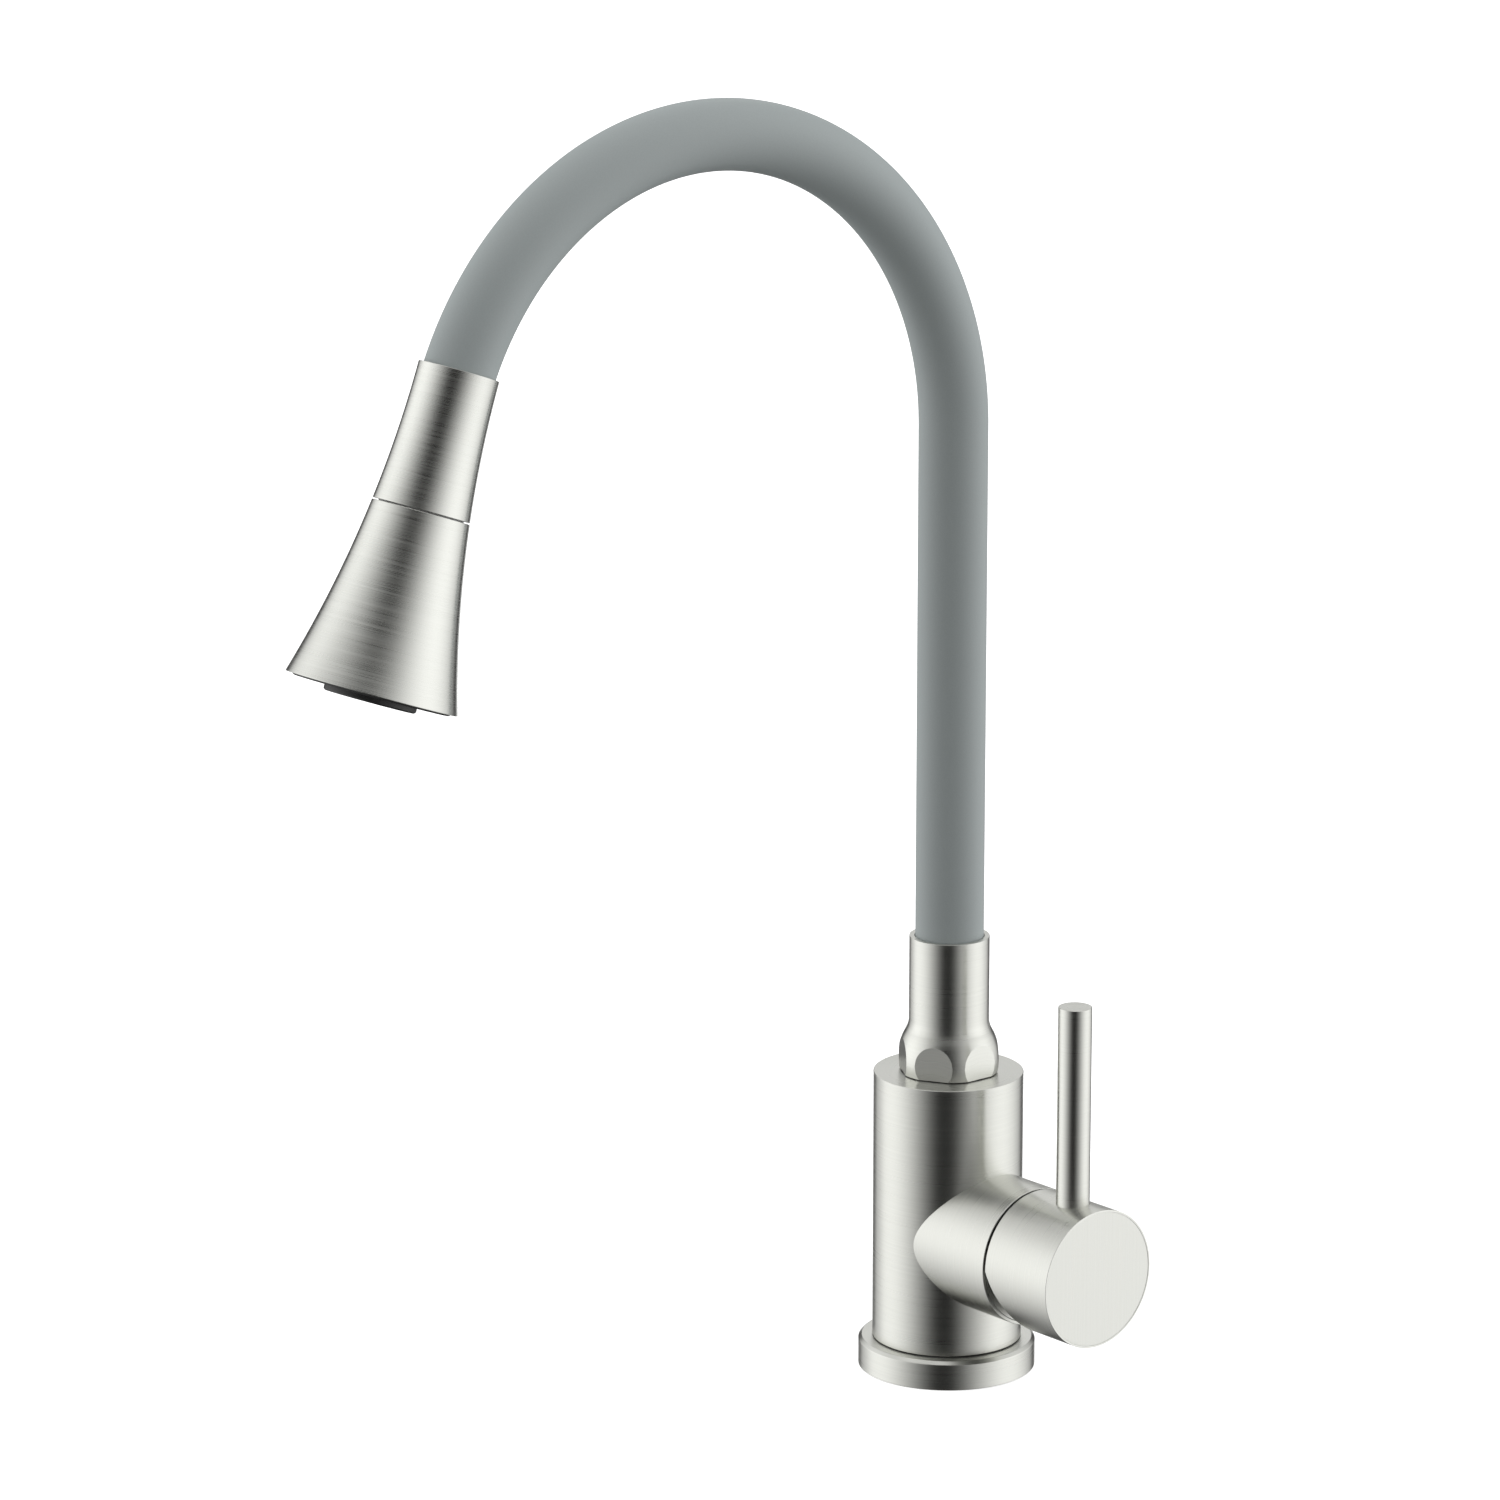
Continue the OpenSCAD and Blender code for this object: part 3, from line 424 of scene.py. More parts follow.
def brushed_nickel(name, around, along, dark, light, rough, turned=True, stretch=0.8):
    """Satin metal with fine scratches, and highlights stretched across them."""
    material, nodes, links, shader = new_material(name)
    marks = streaks(nodes, links, around, along, turned)
    shader.inputs["Metallic"].default_value = 1.0
    shader.inputs["Anisotropic"].default_value = stretch
    links.new(two_tone(nodes, links, marks, dark, light), shader.inputs["Base Color"])
    links.new(spread(nodes, links, marks, *rough), shader.inputs["Roughness"])
    add_bump(nodes, links, shader, marks, 0.02)
    if stretch:
        tangent = nodes.new("ShaderNodeTangent")
        tangent.direction_type = "UV_MAP"
        tangent.uv_map = "brush"
        links.new(tangent.outputs["Tangent"], shader.inputs["Tangent"])
    return material


def grainy(name, dark, light, grain, rough, metallic=0.0, bump=0.1):
    """A plain moulded, cast or machined surface with a fine uneven grain."""
    material, nodes, links, shader = new_material(name)
    speckle = even_noise(nodes, links, grain)
    shader.inputs["Metallic"].default_value = metallic
    links.new(two_tone(nodes, links, speckle, dark, light), shader.inputs["Base Color"])
    links.new(spread(nodes, links, speckle, *rough), shader.inputs["Roughness"])
    add_bump(nodes, links, shader, speckle, bump)
    return material


NICKEL_DARK = (0.66, 0.665, 0.625)
NICKEL_LIGHT = (0.73, 0.735, 0.69)
SATIN = (0.26, 0.34)
nickel_turned = brushed_nickel("nickel_turned", 8, 1100, NICKEL_DARK, NICKEL_LIGHT, SATIN)
nickel_coarse = brushed_nickel(
    "nickel_coarse", 6, 950, (0.63, 0.635, 0.60), (0.745, 0.75, 0.71), (0.22, 0.36)
)
nickel_linear = brushed_nickel(
    "nickel_linear", 8, 900, (0.68, 0.685, 0.645), (0.76, 0.765, 0.725), SATIN, turned=False
)
nickel_plain = brushed_nickel(
    "nickel_plain", 300, 300, NICKEL_DARK, NICKEL_LIGHT, SATIN, turned=False, stretch=0.0
)


def grey(level):
    return (level, level, level)


# Dark nickel for the hub's bore and the stub's recess: painted shade, which darkens the gap between hub and stub.
nickel_painted_shade = grainy("nickel_painted_shade", grey(0.10), grey(0.15), 400, (0.45, 0.6), metallic=1.0)
silicone = grainy("silicone", (0.43, 0.474, 0.474), (0.46, 0.507, 0.507), 2500, (0.55, 0.65))
dark_plastic = grainy("dark_plastic", grey(0.042), grey(0.058), 1800, (0.35, 0.45))
black_rubber = grainy("black_rubber", grey(0.010), grey(0.020), 1500, (0.6, 0.75))
brass = grainy("brass", (0.66, 0.48, 0.22), (0.74, 0.56, 0.28), 900, (0.28, 0.38), metallic=1.0)
steel = grainy("steel", (0.50, 0.50, 0.51), (0.60, 0.60, 0.61), 1200, (0.28, 0.40), metallic=1.0)
ceramic = grainy("ceramic", (0.80, 0.78, 0.73), (0.86, 0.84, 0.80), 600, (0.10, 0.18), bump=0.03)
white_plastic = grainy(
    "white_plastic", (0.70, 0.70, 0.71), (0.76, 0.76, 0.77), 1500, (0.40, 0.50)
)

SLOT_MATERIALS = {
    "brushed_nickel": nickel_plain,
    "grey_silicone": silicone,
    "dark_plastic": dark_plastic,
    "black_rubber": black_rubber,
    "brass": brass,
    "plain_steel": steel,
    "white_ceramic": ceramic,
    "white_plastic": white_plastic,
}


def finish_piece(obj, body, materials, slot, *replaced):
    """Give a piece its materials and body, and hide the CAD nodes that it stands for. slot is not used."""
    for material in materials:
        obj.data.materials.append(material)
    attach(obj, body)
    if replaced:
        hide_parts(*replaced)


# ---------------------------------------------------------------- base and body


def make_flange():
    r, top = flange_hi.x, flange_hi.z
    chamfer, chamfer_round, bore_round, foot_round = 1.1 * MM, 0.5 * MM, 0.1 * MM, 0.3 * MM
    fit = 0.05 * MM
    bore = FOOT_SPIGOT_R + fit
    seal_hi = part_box("base_seal")[1]
    groove_out, groove_top = seal_hi.x + fit, seal_hi.z + fit
    groove_in = BODY_R + 0.4 * MM
    middle = (r, (flange_lo.z + top) / 2)
    strips = chain(
        [
            middle,
            (r, top - chamfer, chamfer_round),
            (r - chamfer, top, chamfer_round),
            (bore, top, bore_round),
            (bore, 0),
            (groove_in, 0),
            (groove_in, groove_top),
            (groove_out, groove_top),
            (groove_out, 0),
            (r, 0, foot_round),
            middle,
        ]
    )
    flange = lathe("base_flange_turned", strips, UPRIGHT)
    finish_piece(flange, "base", [nickel_turned], "brushed_nickel", "base_flange")


def make_barrel():
    """The body's turned outside, down to the well in its foot. Returns the well's size."""
    well_r, well_top = 21 * MM, 15 * MM
    top_round, bore_round, foot_round, spigot_round = 0.25 * MM, 0.15 * MM, 0.15 * MM, 0.3 * MM
    middle = (BODY_R, (BODY_FOOT + BODY_TOP) / 2)
    strips = chain(
        [
            middle,
            (BODY_R, BODY_TOP, top_round),
            (SWIVEL_BORE_R, BODY_TOP, bore_round),
            (SWIVEL_BORE_R, SWIVEL_FLOOR),
            (0, SWIVEL_FLOOR),
        ]
    )
    strips += chain(
        [
            (0, well_top),
            (well_r, well_top),
            (well_r, 0),
            (FOOT_SPIGOT_R, 0, spigot_round),
            (FOOT_SPIGOT_R, BODY_FOOT),
            (BODY_R, BODY_FOOT, foot_round),
            middle,
        ]
    )
    barrel = lathe("body_barrel", strips, UPRIGHT)
    finish_piece(barrel, "base", [nickel_turned], "brushed_nickel", "faucet_body")
    return well_r, well_top


def make_underside(radius, depth):
    """The plate that fills the well, with the stud hole and the two inlets in it."""
    holes = []
    for mount in frame["record"]["mounts"]:
        if mount["dims"].get("r_mm"):
            x, y, _ = mount["pos_m"]
            holes.append((x, y, mount["dims"]["r_mm"] * MM, mount["dims"]["length_mm"] * MM))
    roof = 0.5 * MM
    bm = bmesh.new()
    mouth_edges = []

    def circle(x, y, r, z, count):
        turns = [2 * math.pi * k / count for k in range(count)]
        return [bm.verts.new((x + r * math.cos(a), y + r * math.sin(a), z)) for a in turns]

    def sunk_circle(x, y, r, end_z, count):
        """An open edge at height 0, and a wall and an end above it."""
        mouth = circle(x, y, r, 0, count)
        for k in range(count):
            mouth_edges.append(bm.edges.new((mouth[k], mouth[(k + 1) % count])))
        end = circle(x, y, r, end_z, count)
        for k in range(count):
            m = (k + 1) % count
            bm.faces.new((mouth[k], mouth[m], end[m], end[k]))
        bm.faces.new(end)

    sunk_circle(0, 0, radius, depth, 96)
    for x, y, r, length in holes:
        sunk_circle(x, y, r, min(length, depth - roof), 48)
    bmesh.ops.triangle_fill(bm, edges=mouth_edges, use_beauty=True)
    bmesh.ops.recalc_face_normals(bm, faces=bm.faces)
    mesh = bpy.data.meshes.new("body_underside")
    bm.to_mesh(mesh)
    bm.free()
    mesh.polygons.foreach_set("use_smooth", [True] * len(mesh.polygons))
    mesh.set_sharp_from_angle(angle=math.radians(40))
    plate = bpy.data.objects.new("body_underside", mesh)
    bpy.context.scene.collection.objects.link(plate)
    finish_piece(plate, "base", [nickel_plain], "brushed_nickel")


def make_stub():
    """The stub for the handle. Its root follows the barrel, a little below the barrel's skin."""
    sunk = 0.6 * MM
    rim_round, recess_round = 0.2 * MM, 0.12 * MM
    recess_r, recess_x = HUB_R - 1.075 * MM, STUB_X - 1.2 * MM
    inner_r, inner_x = 18.85 * MM, STUB_X - 7 * MM
    core_r, core_x = 8 * MM, 2 * MM
    strips = chain(
        [
            (HUB_R, 0),
            (HUB_R, STUB_X, rim_round),
            (recess_r, STUB_X, recess_round),
            (recess_r, recess_x),
            (inner_r, recess_x),
            (inner_r, inner_x),
            (core_r, inner_x),
            (core_r, core_x),
            (HUB_R, 0),
        ]
    )

    def follow_barrel(r, angle, w):
        if w > 0:
            return w
        return math.sqrt((BODY_R - sunk) ** 2 - (r * math.sin(angle)) ** 2)

    # The stub's recess and inner faces take the dark nickel: painted shade for the gap round the hub.
    recess_start, root = 4, len(strips) - 1
    finishes = [(recess_start, root - 1, 1)]
    stub = lathe("body_stub", strips, ALONG_HANDLE, shift=follow_barrel, finishes=finishes)
    finish_piece(stub, "base", [nickel_turned, nickel_painted_shade], "brushed_nickel")


def make_dome():
    """The pale dome between stub and hub, round the point that the handle tilts about."""
    base_out, base_in = HUB_R - 1.175 * MM, 19 * MM
    base_x = STUB_X - 1.15 * MM
    base_round = 0.1 * MM
    rise = STUB_X - PIVOT_X
    inside = DOME_R - DOME_WALL
    outer_start, inner_start = math.asin(rise / DOME_R), math.asin(rise / inside)
    end = math.radians(47)
    pivot = (0, PIVOT_X)
    outer = arc_strip(pivot, DOME_R, outer_start, end, 24)
    inner = arc_strip(pivot, inside, end, inner_start, 24, outside=-1)
    strips = chain([(base_out, base_x), (base_out, STUB_X, base_round), outer[0][:2]])
    strips += [outer, straight(outer[-1][:2], inner[0][:2]), inner]
    strips += chain([inner[-1][:2], (base_in, base_x), (base_out, base_x)])
    dome = lathe("dome_turned", strips, ALONG_HANDLE, segments=192)
    finish_piece(dome, "base", [nickel_turned], "brushed_nickel", "dome_ring")


# ---------------------------------------------------------------- handle


def make_hub():
    """The hub, whose back is cut away below so that it can tilt."""
    front_round, cap_round, bore_round, back_round = 0.12 * MM, 0.05 * MM, 0.12 * MM, 0.2 * MM
    bore = HUB_R - HUB_WALL
    wall_x, seat_x = HUB_END - 5.2 * MM, HUB_END - 2.5 * MM
    boss_r, boss_x = 9 * MM, HUB_END - 14 * MM
    cap_bore = CAP_R + 0.02 * MM
    middle = (HUB_R, (HUB_BACK + HUB_END) / 2)
    strips = chain(
        [
            middle,
            (HUB_R, HUB_END, front_round),
            (cap_bore, HUB_END, cap_round),
            (cap_bore, seat_x),
            (0, seat_x),
        ]
    )
    strips += chain(
        [
            (0, boss_x),
            (boss_r, boss_x),
            (boss_r, wall_x),
            (bore, wall_x),
            (bore, HUB_BACK, bore_round),
            (HUB_R, HUB_BACK, back_round),
            middle,
        ]
    )
    slope = math.tan(TILT)
    back_edge = HUB_BACK + 1 * MM

    def slanted_back(r, angle, w):
        below = max(0.0, r * math.cos(angle))
        return w + below * slope if w < back_edge else w

    # The hub's bore takes the dark nickel, painted shade for the gap round the stub; the rim takes the linear
    # brushing.
    rim, bore_start, bore_end = 2, 9, 11
    finishes = [(rim, rim, 1), (bore_start, bore_end, 2)]
    hub = lathe("hub_turned", strips, ALONG_HANDLE, shift=slanted_back, finishes=finishes)
    materials = [nickel_turned, nickel_linear, nickel_painted_shade]
    finish_piece(hub, "handle", materials, "brushed_nickel", "handle_hub")


def make_cap():
    edge = 0.06 * MM
    strips = chain([(0, cap_lo.x), (CAP_R, cap_lo.x), (CAP_R, cap_hi.x, edge), (0, cap_hi.x)])
    cap = lathe("cap_disc", strips, ALONG_HANDLE, planar=True)
    finish_piece(cap, "handle", [nickel_linear], "brushed_nickel", "handle_cap")


def make_rod():
    middle = (ROD_R, (ROD_FOOT + rod_hi.z) / 2)
    stud_r, tip_round = 2.5 * MM, 0.3 * MM
    strips = chain([middle, (ROD_R, rod_hi.z, tip_round), (0, rod_hi.z)])
    strips += chain([(0, rod_lo.z), (stud_r, rod_lo.z), (stud_r, ROD_FOOT)])
    strips += chain([(stud_r, ROD_FOOT), (ROD_R, ROD_FOOT), middle])
    rod = lathe("rod_turned", strips, Matrix.Translation((ROD_X, 0, 0)), segments=96)
    finish_piece(rod, "handle", [nickel_turned], "brushed_nickel", "lever_rod")


# ---------------------------------------------------------------- ferrule


def ferrule_radius(z):
    """Outer radius of the ferrule's turned shape, and its slope, at a height."""
    turn_z = BULB_Z + BULB_ROUND * math.sin(BULB_TURN)
    hollow = (BULB_MAX_R - FERRULE_R) / (1 - math.cos(BULB_TURN)) - BULB_ROUND
    hollow_z = turn_z + hollow * math.sin(BULB_TURN)
    if z <= turn_z:
        rise = z - BULB_Z
        reach = math.sqrt(BULB_ROUND**2 - rise**2)
        return BULB_MAX_R - BULB_ROUND + reach, -rise / reach
    if z < hollow_z:
        drop = hollow_z - z
        reach = math.sqrt(hollow**2 - drop**2)
        return FERRULE_R + hollow - reach, -drop / reach
    return FERRULE_R, 0.0


def off_flat(angle):
    """How far an angle is from the middle of its wrench flat, of which there are six."""
    return (angle + math.pi / 6) % (math.pi / 3) - math.pi / 6


def ferrule_heights(angle):
    """Lowest and highest point of the wrench flat at this angle, and its distance from the axis.
    Between two flats, both points are the bulb's middle."""
    flat_r = FLAT_APOTHEM / math.cos(off_flat(angle))
    if flat_r >= BULB_MAX_R:
        return BULB_Z, BULB_Z, flat_r
    rise = math.sqrt(max(0.0, BULB_ROUND**2 - (flat_r - BULB_MAX_R + BULB_ROUND) ** 2))
    return max(ferrule_lo.z, BULB_Z - rise), BULB_Z + rise, flat_r


def make_ferrule():
    foot, top = ferrule_lo.z, ferrule_hi.z
    rim = 0.15 * MM
    rim_round = rim * 0.98
    edge_off = math.acos(FLAT_APOTHEM / BULB_MAX_R)
    half_flat_columns, corner_columns = 20, 12
    columns = []
    for flat in range(6):
        centre = flat * math.pi / 3
        for i in range(-half_flat_columns, half_flat_columns):
            columns.append(centre + edge_off * i / half_flat_columns)
        for i in range(corner_columns):
            step = (math.pi / 3 - 2 * edge_off) * i / corner_columns
            columns.append(centre + edge_off + step)
    low_rows, flat_rows, high_rows, crowding = 6, 12, 60, 1.3
    points, faces, normals, uvs = [], [], [], []
    index = {}

    def vertex(p):
        key = tuple(round(c * 1e8) for c in p)
        if key not in index:
            index[key] = len(points)
            points.append(p)
        return index[key]

    def round_sample(a, z):
        r, slope = ferrule_radius(z)
        steep = math.hypot(1, slope)
        n = (math.cos(a) / steep, math.sin(a) / steep, -slope / steep)
        return (r * math.cos(a), r * math.sin(a), z), n

    def flat_sample(a, z):
        off = off_flat(a)
        r = FLAT_APOTHEM / math.cos(off)
        return (r * math.cos(a), r * math.sin(a), z), (math.cos(a - off), math.sin(a - off), 0)

    def ring_sample(a, r, z, nr, nw):
        c, s = math.cos(a), math.sin(a)
        return (r * c, r * s, z), (nr * c, nr * s, nw)

    def column(a):
        low, high, flat_r = ferrule_heights(a)
        steps = [i / low_rows for i in range(low_rows + 1)]
        rows = [[round_sample(a, foot + (low - foot) * t) for t in steps]]
        steps = [i / flat_rows for i in range(flat_rows + 1)]
        rows.append([flat_sample(a, low + (high - low) * t) for t in steps])
        steps = [(i / high_rows) ** crowding for i in range(high_rows + 1)]
        rows.append([round_sample(a, high + (top - rim - high) * t) for t in steps])
        for strip in cap_strips:
            rows.append([ring_sample(a, *sample) for sample in strip])
        foot_r = flat_r if low <= foot and high > low else ferrule_radius(foot)[0]
        rows.append([ring_sample(a, r, foot, 0, -1) for r in (FERRULE_BORE_R, foot_r)])
        return rows

    cap_strips = chain(
        [
            (FERRULE_R, top - rim),
            (FERRULE_R, top, rim_round),
            (FERRULE_BORE_R, top, rim_round),
            (FERRULE_BORE_R, foot),
        ]
    )
    built = [column(a) for a in columns]
    count = len(columns)
    for k in range(count):
        left, right = built[k], built[(k + 1) % count]
        for strip in range(len(left)):
            for i in range(len(left[strip]) - 1):
                samples = [
                    (left[strip][i], k),
                    (right[strip][i], k + 1),
                    (right[strip][i + 1], k + 1),
                    (left[strip][i + 1], k),
                ]
                kept = distinct([(vertex(p), n, step) for (p, n), step in samples])
                if len(kept) < 3:
                    continue
                faces.append([corner[0] for corner in kept])
                for v, n, step in kept:
                    normals.append(n)
                    x, y, z = points[v]
                    uvs.append((z + math.hypot(x, y), step / count))
    ferrule = mesh_object("ferrule_turned", points, faces, UPRIGHT, normals, uvs)
    finish_piece(ferrule, "spout", [nickel_turned], "brushed_nickel", "ferrule")


# ---------------------------------------------------------------- neck


def bend_with_neck(tube, material, slot, *replaced):
    """Give a tube along the neck its material, bake its placement into its mesh and hide the CAD nodes that it
    stands for.
    """
    tube.data.materials.append(material)
    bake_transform(tube)
    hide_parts(*replaced)


def make_neck():
    """The silicone sleeve, and in it the wound steel conduit and the water tube."""
    stations = route(NECK_START, NECK_IN_HEAD, 2.5 * MM)
    sleeve = swept_tube("neck_sleeve", stations, lambda d: NECK_R, lambda d: NECK_IN_R, 96)
    solids = ("neck_sleeve_foot", "neck_sleeve_flex", "neck_sleeve_arc")
    bend_with_neck(sleeve, silicone, "grey_silicone", *solids)
    pitch, winding_r, ridge, conduit_bore_r = 4 * MM, 8.5 * MM, 0.28 * MM, 7.6 * MM

    def wound(d):
        return winding_r + ridge * math.cos(2 * math.pi * d / pitch)

    fine = route(NECK_START, NECK_IN_HEAD, pitch / 6)
    conduit = swept_tube("neck_conduit_wound", fine, wound, lambda d: conduit_bore_r, 40)
    bend_with_neck(conduit, steel, "plain_steel", "neck_conduit")
    tube_r, tube_bore_r = 5 * MM, 3.5 * MM
    tube = swept_tube("water_tube_run", stations, lambda d: tube_r, lambda d: tube_bore_r, 40)
    bend_with_neck(tube, white_plastic, "white_plastic", "water_tube")


# ---------------------------------------------------------------- spray head


def flare(w, inset=0.0):
    """A sample of the flared side at a height down the head's axis, pulled in by inset."""
    drop = w - HEAD_RIM
    reach = math.sqrt((FLARE_R + inset) ** 2 - drop**2)
    r = HEAD_RIM_R + FLARE_R - reach
    return (r, w, reach / (FLARE_R + inset), -drop / (FLARE_R + inset))


def flare_strip(start, end, pieces, inset=0.0):
    """The flared side from start to end, in either direction."""
    side = 1 if end > start else -1
    strip = []
    for i in range(pieces + 1):
        r, w, nr, nw = flare(start + (end - start) * i / pieces, inset)
        strip.append((r, w, nr * side, nw * side))
    return strip


def make_sleeve():
    """The upper shell of the head, up to the seam."""
    edge, seam_round, collar_round = 0.6 * MM, 0.18 * MM, 0.1 * MM
    bore_round, rim_round = 0.25 * MM, 0.15 * MM
    collar_seat, rim_floor = 33 * MM, -0.2 * MM
    skin = flare_strip(HEAD_RIM + edge, SLEEVE_END - edge, 24)
    collar, bore, rim_bore = COLLAR_R + 0.05 * MM, NECK_R + 0.25 * MM, NECK_R + 0.45 * MM
    strips = [skin]
    strips += chain(
        [
            skin[-1][:2],
            (*flare(SLEEVE_END)[:2], seam_round),
            (collar, SLEEVE_END, collar_round),
            (collar, collar_seat),
            (bore, collar_seat),
            (bore, rim_floor),
            (rim_bore, rim_floor),
            (rim_bore, HEAD_RIM, bore_round),
            (*flare(HEAD_RIM)[:2], rim_round),
            skin[0][:2],
        ]
    )
    sleeve = lathe("head_sleeve_turned", strips, ALONG_HEAD)
    finish_piece(sleeve, "head", [nickel_coarse], "brushed_nickel", "head_sleeve")


def make_bell():
    """The lower shell of the head, from the seam to the lip round the spray face."""
    edge, seam_round, collar_round = 0.6 * MM, 0.18 * MM, 0.1 * MM
    rim_round, lip_round = 0.2 * MM, 0.15 * MM
    skin = flare_strip(BELL_START + edge, BELL_END - edge, 32)
    inner = flare_strip(FACE_LIP, CORE_START, 20, BELL_WALL)
    bore = COLLAR_R + 0.06 * MM
    strips = [skin]
    strips += chain(
        [
            skin[-1][:2],
            (*flare(BELL_END)[:2], rim_round),
            (FACE_R, BELL_END, lip_round),
            (FACE_R, FACE_LIP),
            inner[0][:2],
        ]
    )
    strips.append(inner)
    strips += chain(
        [
            inner[-1][:2],
            (bore, CORE_START),
            (bore, BELL_START, collar_round),
            (*flare(BELL_START)[:2], seam_round),
            skin[0][:2],
        ]
    )
    bell = lathe("head_bell_turned", strips, ALONG_HEAD)
    finish_piece(bell, "bell", [nickel_coarse], "brushed_nickel", "head_bell")


def make_spring():
    """The check valve's wire spring, which shortens as the poppet lifts."""
    wire, coil, turns, steps, sides = 0.3 * MM, 2.8 * MM, 3, 40, 12
    cad = frame["nodes"]["check_spring"]
    heights = [(cad.matrix_world @ v.co - BEND_END).dot(HEAD_AXIS) for v in cad.data.vertices]
    low, high = min(heights), max(heights)
    points, faces = [], []
    for i in range(turns * steps + 1):
        a = 2 * math.pi * i / steps
        middle = low + wire + (high - low - 2 * wire) * i / (turns * steps)
        for k in range(sides):
            b = 2 * math.pi * k / sides
            r = coil + wire * math.cos(b)
            points.append((r * math.cos(a), r * math.sin(a), middle + wire * math.sin(b)))
    for i in range(turns * steps):
        for k in range(sides):
            p, q = i * sides + k, i * sides + (k + 1) % sides
            faces.append([p, p + sides, q + sides, q])
    faces.append(list(range(sides)))
    faces.append([turns * steps * sides + k for k in reversed(range(sides))])
    spring = mesh_object("check_spring_coil", points, faces, ALONG_HEAD)
    spring.data.set_sharp_from_angle(angle=math.radians(60))
    finish_piece(spring, "head", [steel], "plain_steel", "check_spring")
    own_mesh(spring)


# ---------------------------------------------------------------- carried-over CAD nodes


def dress_cad_nodes():
    """Give every CAD node the material of its slot."""
    slots = {part["node"]: part["material_slot"] for part in frame["record"]["subparts"]}
    for name, obj in frame["nodes"].items():
        obj.data.materials.clear()
        obj.data.materials.append(SLOT_MATERIALS[slots[name]])


# ---------------------------------------------------------------- camera, floor and light


def make_camera():
    azimuth, elevation, distance = math.radians(50.229), math.radians(13.873), 2.018113
    aim_height, aim_left = 0.203457, 0.063434
    back = Vector(
        (
            math.sin(azimuth) * math.cos(elevation),
            -math.cos(azimuth) * math.cos(elevation),
            math.sin(elevation),
        )
    )
    right = Vector((math.cos(azimuth), math.sin(azimuth), 0))
    aim = Vector((0, 0, aim_height)) - right * aim_left
    data = bpy.data.cameras.new("camera")
    data.sensor_width = 36
    data.lens = 153.47
    camera = bpy.data.objects.new("camera", data)
    camera.location = aim + back * distance
    camera.rotation_mode = "QUATERNION"
    camera.rotation_quaternion = (-back).to_track_quat("-Z", "Y")
    bpy.context.scene.collection.objects.link(camera)
    bpy.context.scene.camera = camera


def make_floor():
    """A white floor just below the object, which it neither lights nor is mirrored in."""
    half, gap = 15.0, 0.2 * MM
    corners = [(-half, -half, 0), (half, -half, 0), (half, half, 0), (-half, half, 0)]
    floor = mesh_object("floor", corners, [[0, 1, 2, 3]], Matrix.Translation((0, 0, -gap)))
    material, _, _, shader = new_material("floor")
    shader.inputs["Base Color"].default_value = (0.9, 0.9, 0.9, 1)
    shader.inputs["Roughness"].default_value = 1.0
    shader.inputs["Specular IOR Level"].default_value = 0.0
    shader.inputs["Emission Color"].default_value = (1, 1, 1, 1)
    shader.inputs["Emission Strength"].default_value = 0.75
    floor.data.materials.append(material)
    floor.visible_glossy = False
    floor.visible_diffuse = False


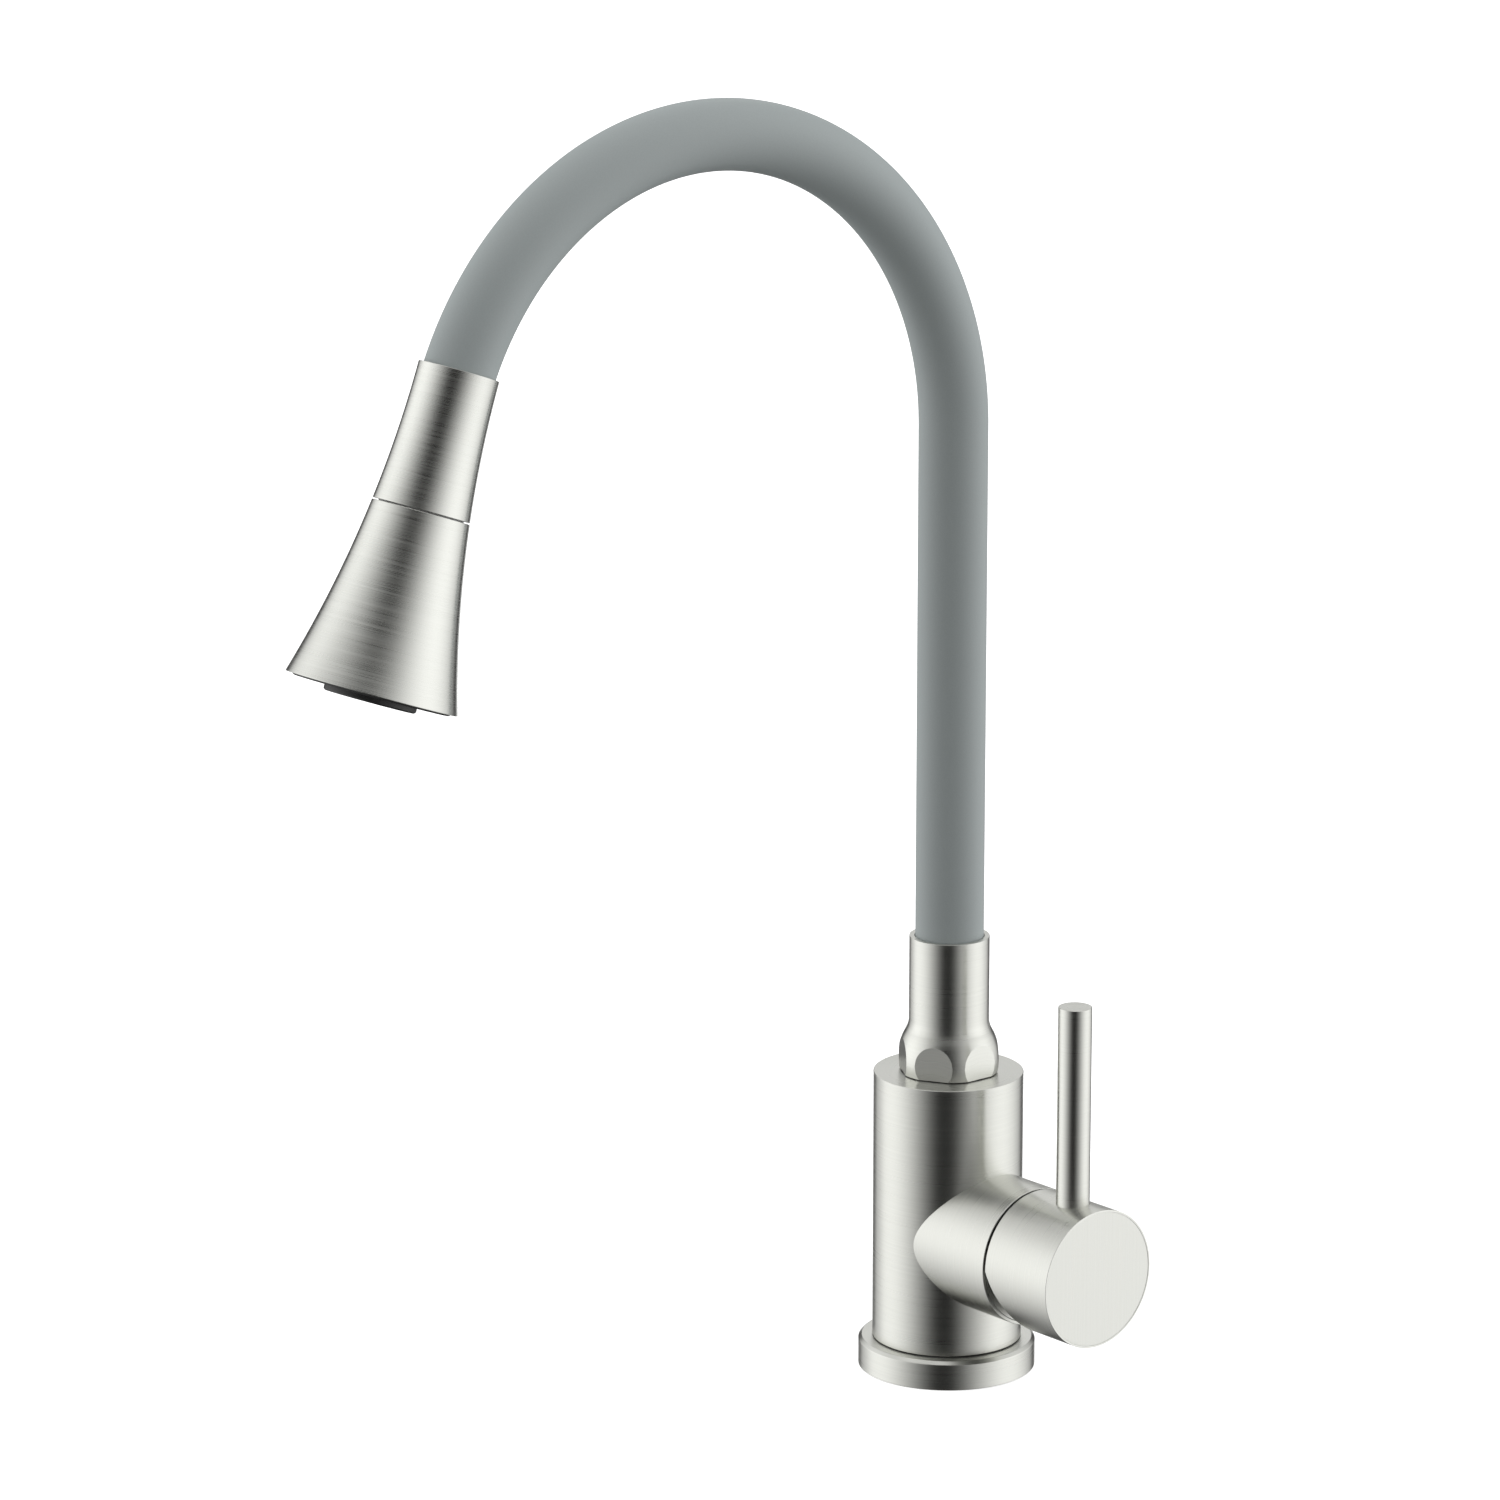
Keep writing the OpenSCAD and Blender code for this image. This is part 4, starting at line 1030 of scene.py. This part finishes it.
def make_world():
    """Two broad soft lights at the sides, a dark part behind the object with a low and a high
    pale patch in it, and a soft light overhead. Directions are (azimuth from +X, elevation)."""
    world = bpy.data.worlds.new("studio")
    bpy.context.scene.world = world
    world.use_nodes = True
    nodes, links = world.node_tree.nodes, world.node_tree.links
    nodes.clear()
    place = nodes.new("ShaderNodeTexCoord")

    def toward(azimuth, elevation):
        dot = nodes.new("ShaderNodeVectorMath")
        dot.operation = "DOT_PRODUCT"
        a, e = math.radians(azimuth), math.radians(elevation)
        level = math.cos(e)
        dot.inputs[1].default_value = (math.cos(a) * level, math.sin(a) * level, math.sin(e))
        links.new(place.outputs["Generated"], dot.inputs[0])
        return dot.outputs["Value"]

    def maths(operation, a, b):
        node = nodes.new("ShaderNodeMath")
        node.operation = operation
        for socket, value in zip(node.inputs, (a, b)):
            if isinstance(value, (int, float)):
                socket.default_value = value
            else:
                links.new(value, socket)
        return node.outputs[0]

    def lobe(azimuth, elevation, wide, narrow, strength):
        """Full strength up to narrow degrees from the direction, fading to none at wide."""
        ramp = nodes.new("ShaderNodeMapRange")
        ramp.interpolation_type = "SMOOTHSTEP"
        ramp.inputs["From Min"].default_value = math.cos(math.radians(wide))
        ramp.inputs["From Max"].default_value = math.cos(math.radians(narrow))
        ramp.inputs["To Max"].default_value = strength
        links.new(toward(azimuth, elevation), ramp.inputs["Value"])
        return ramp.outputs["Result"]

    def side(azimuth):
        clipped = maths("MAXIMUM", toward(azimuth, side_elevation), 0.0)
        return maths("MULTIPLY", maths("POWER", clipped, side_falloff), side_strength)

    def dimmed(value, shade):
        return maths("MULTIPLY", value, maths("SUBTRACT", 1.0, shade))

    side_elevation, side_falloff, side_strength = 3, 1.9, 1.8
    behind, everywhere = 138, 0.03
    total = maths("ADD", side(48), side(-140))
    total = dimmed(total, lobe(behind, -4, 42, 27, 0.88))
    total = dimmed(total, lobe(178, -10, 28, 10, 0.2))
    low_patch = lobe(behind, -16, 19, 12, 1.0)
    high_patch = lobe(behind, 31, 25, 13, 1.15)
    total = maths("ADD", total, maths("MAXIMUM", low_patch, high_patch))
    total = maths("ADD", total, lobe(0, 90, 42, 10, 1.45))
    total = maths("ADD", total, everywhere)
    studio = nodes.new("ShaderNodeBackground")
    links.new(total, studio.inputs["Strength"])
    plain = nodes.new("ShaderNodeBackground")
    plain.inputs["Color"].default_value = (1, 1, 1, 1)
    ray = nodes.new("ShaderNodeLightPath")
    mix = nodes.new("ShaderNodeMixShader")
    output = nodes.new("ShaderNodeOutputWorld")
    links.new(ray.outputs["Is Camera Ray"], mix.inputs[0])
    links.new(studio.outputs[0], mix.inputs[1])
    links.new(plain.outputs[0], mix.inputs[2])
    links.new(mix.outputs[0], output.inputs["Surface"])


make_camera()
make_floor()
make_world()
bpy.context.scene.view_settings.view_transform = "Standard"
dress_cad_nodes()
make_flange()
make_underside(*make_barrel())
make_stub()
make_dome()
make_hub()
make_cap()
make_rod()
make_ferrule()
make_neck()
make_sleeve()
make_bell()
make_spring()
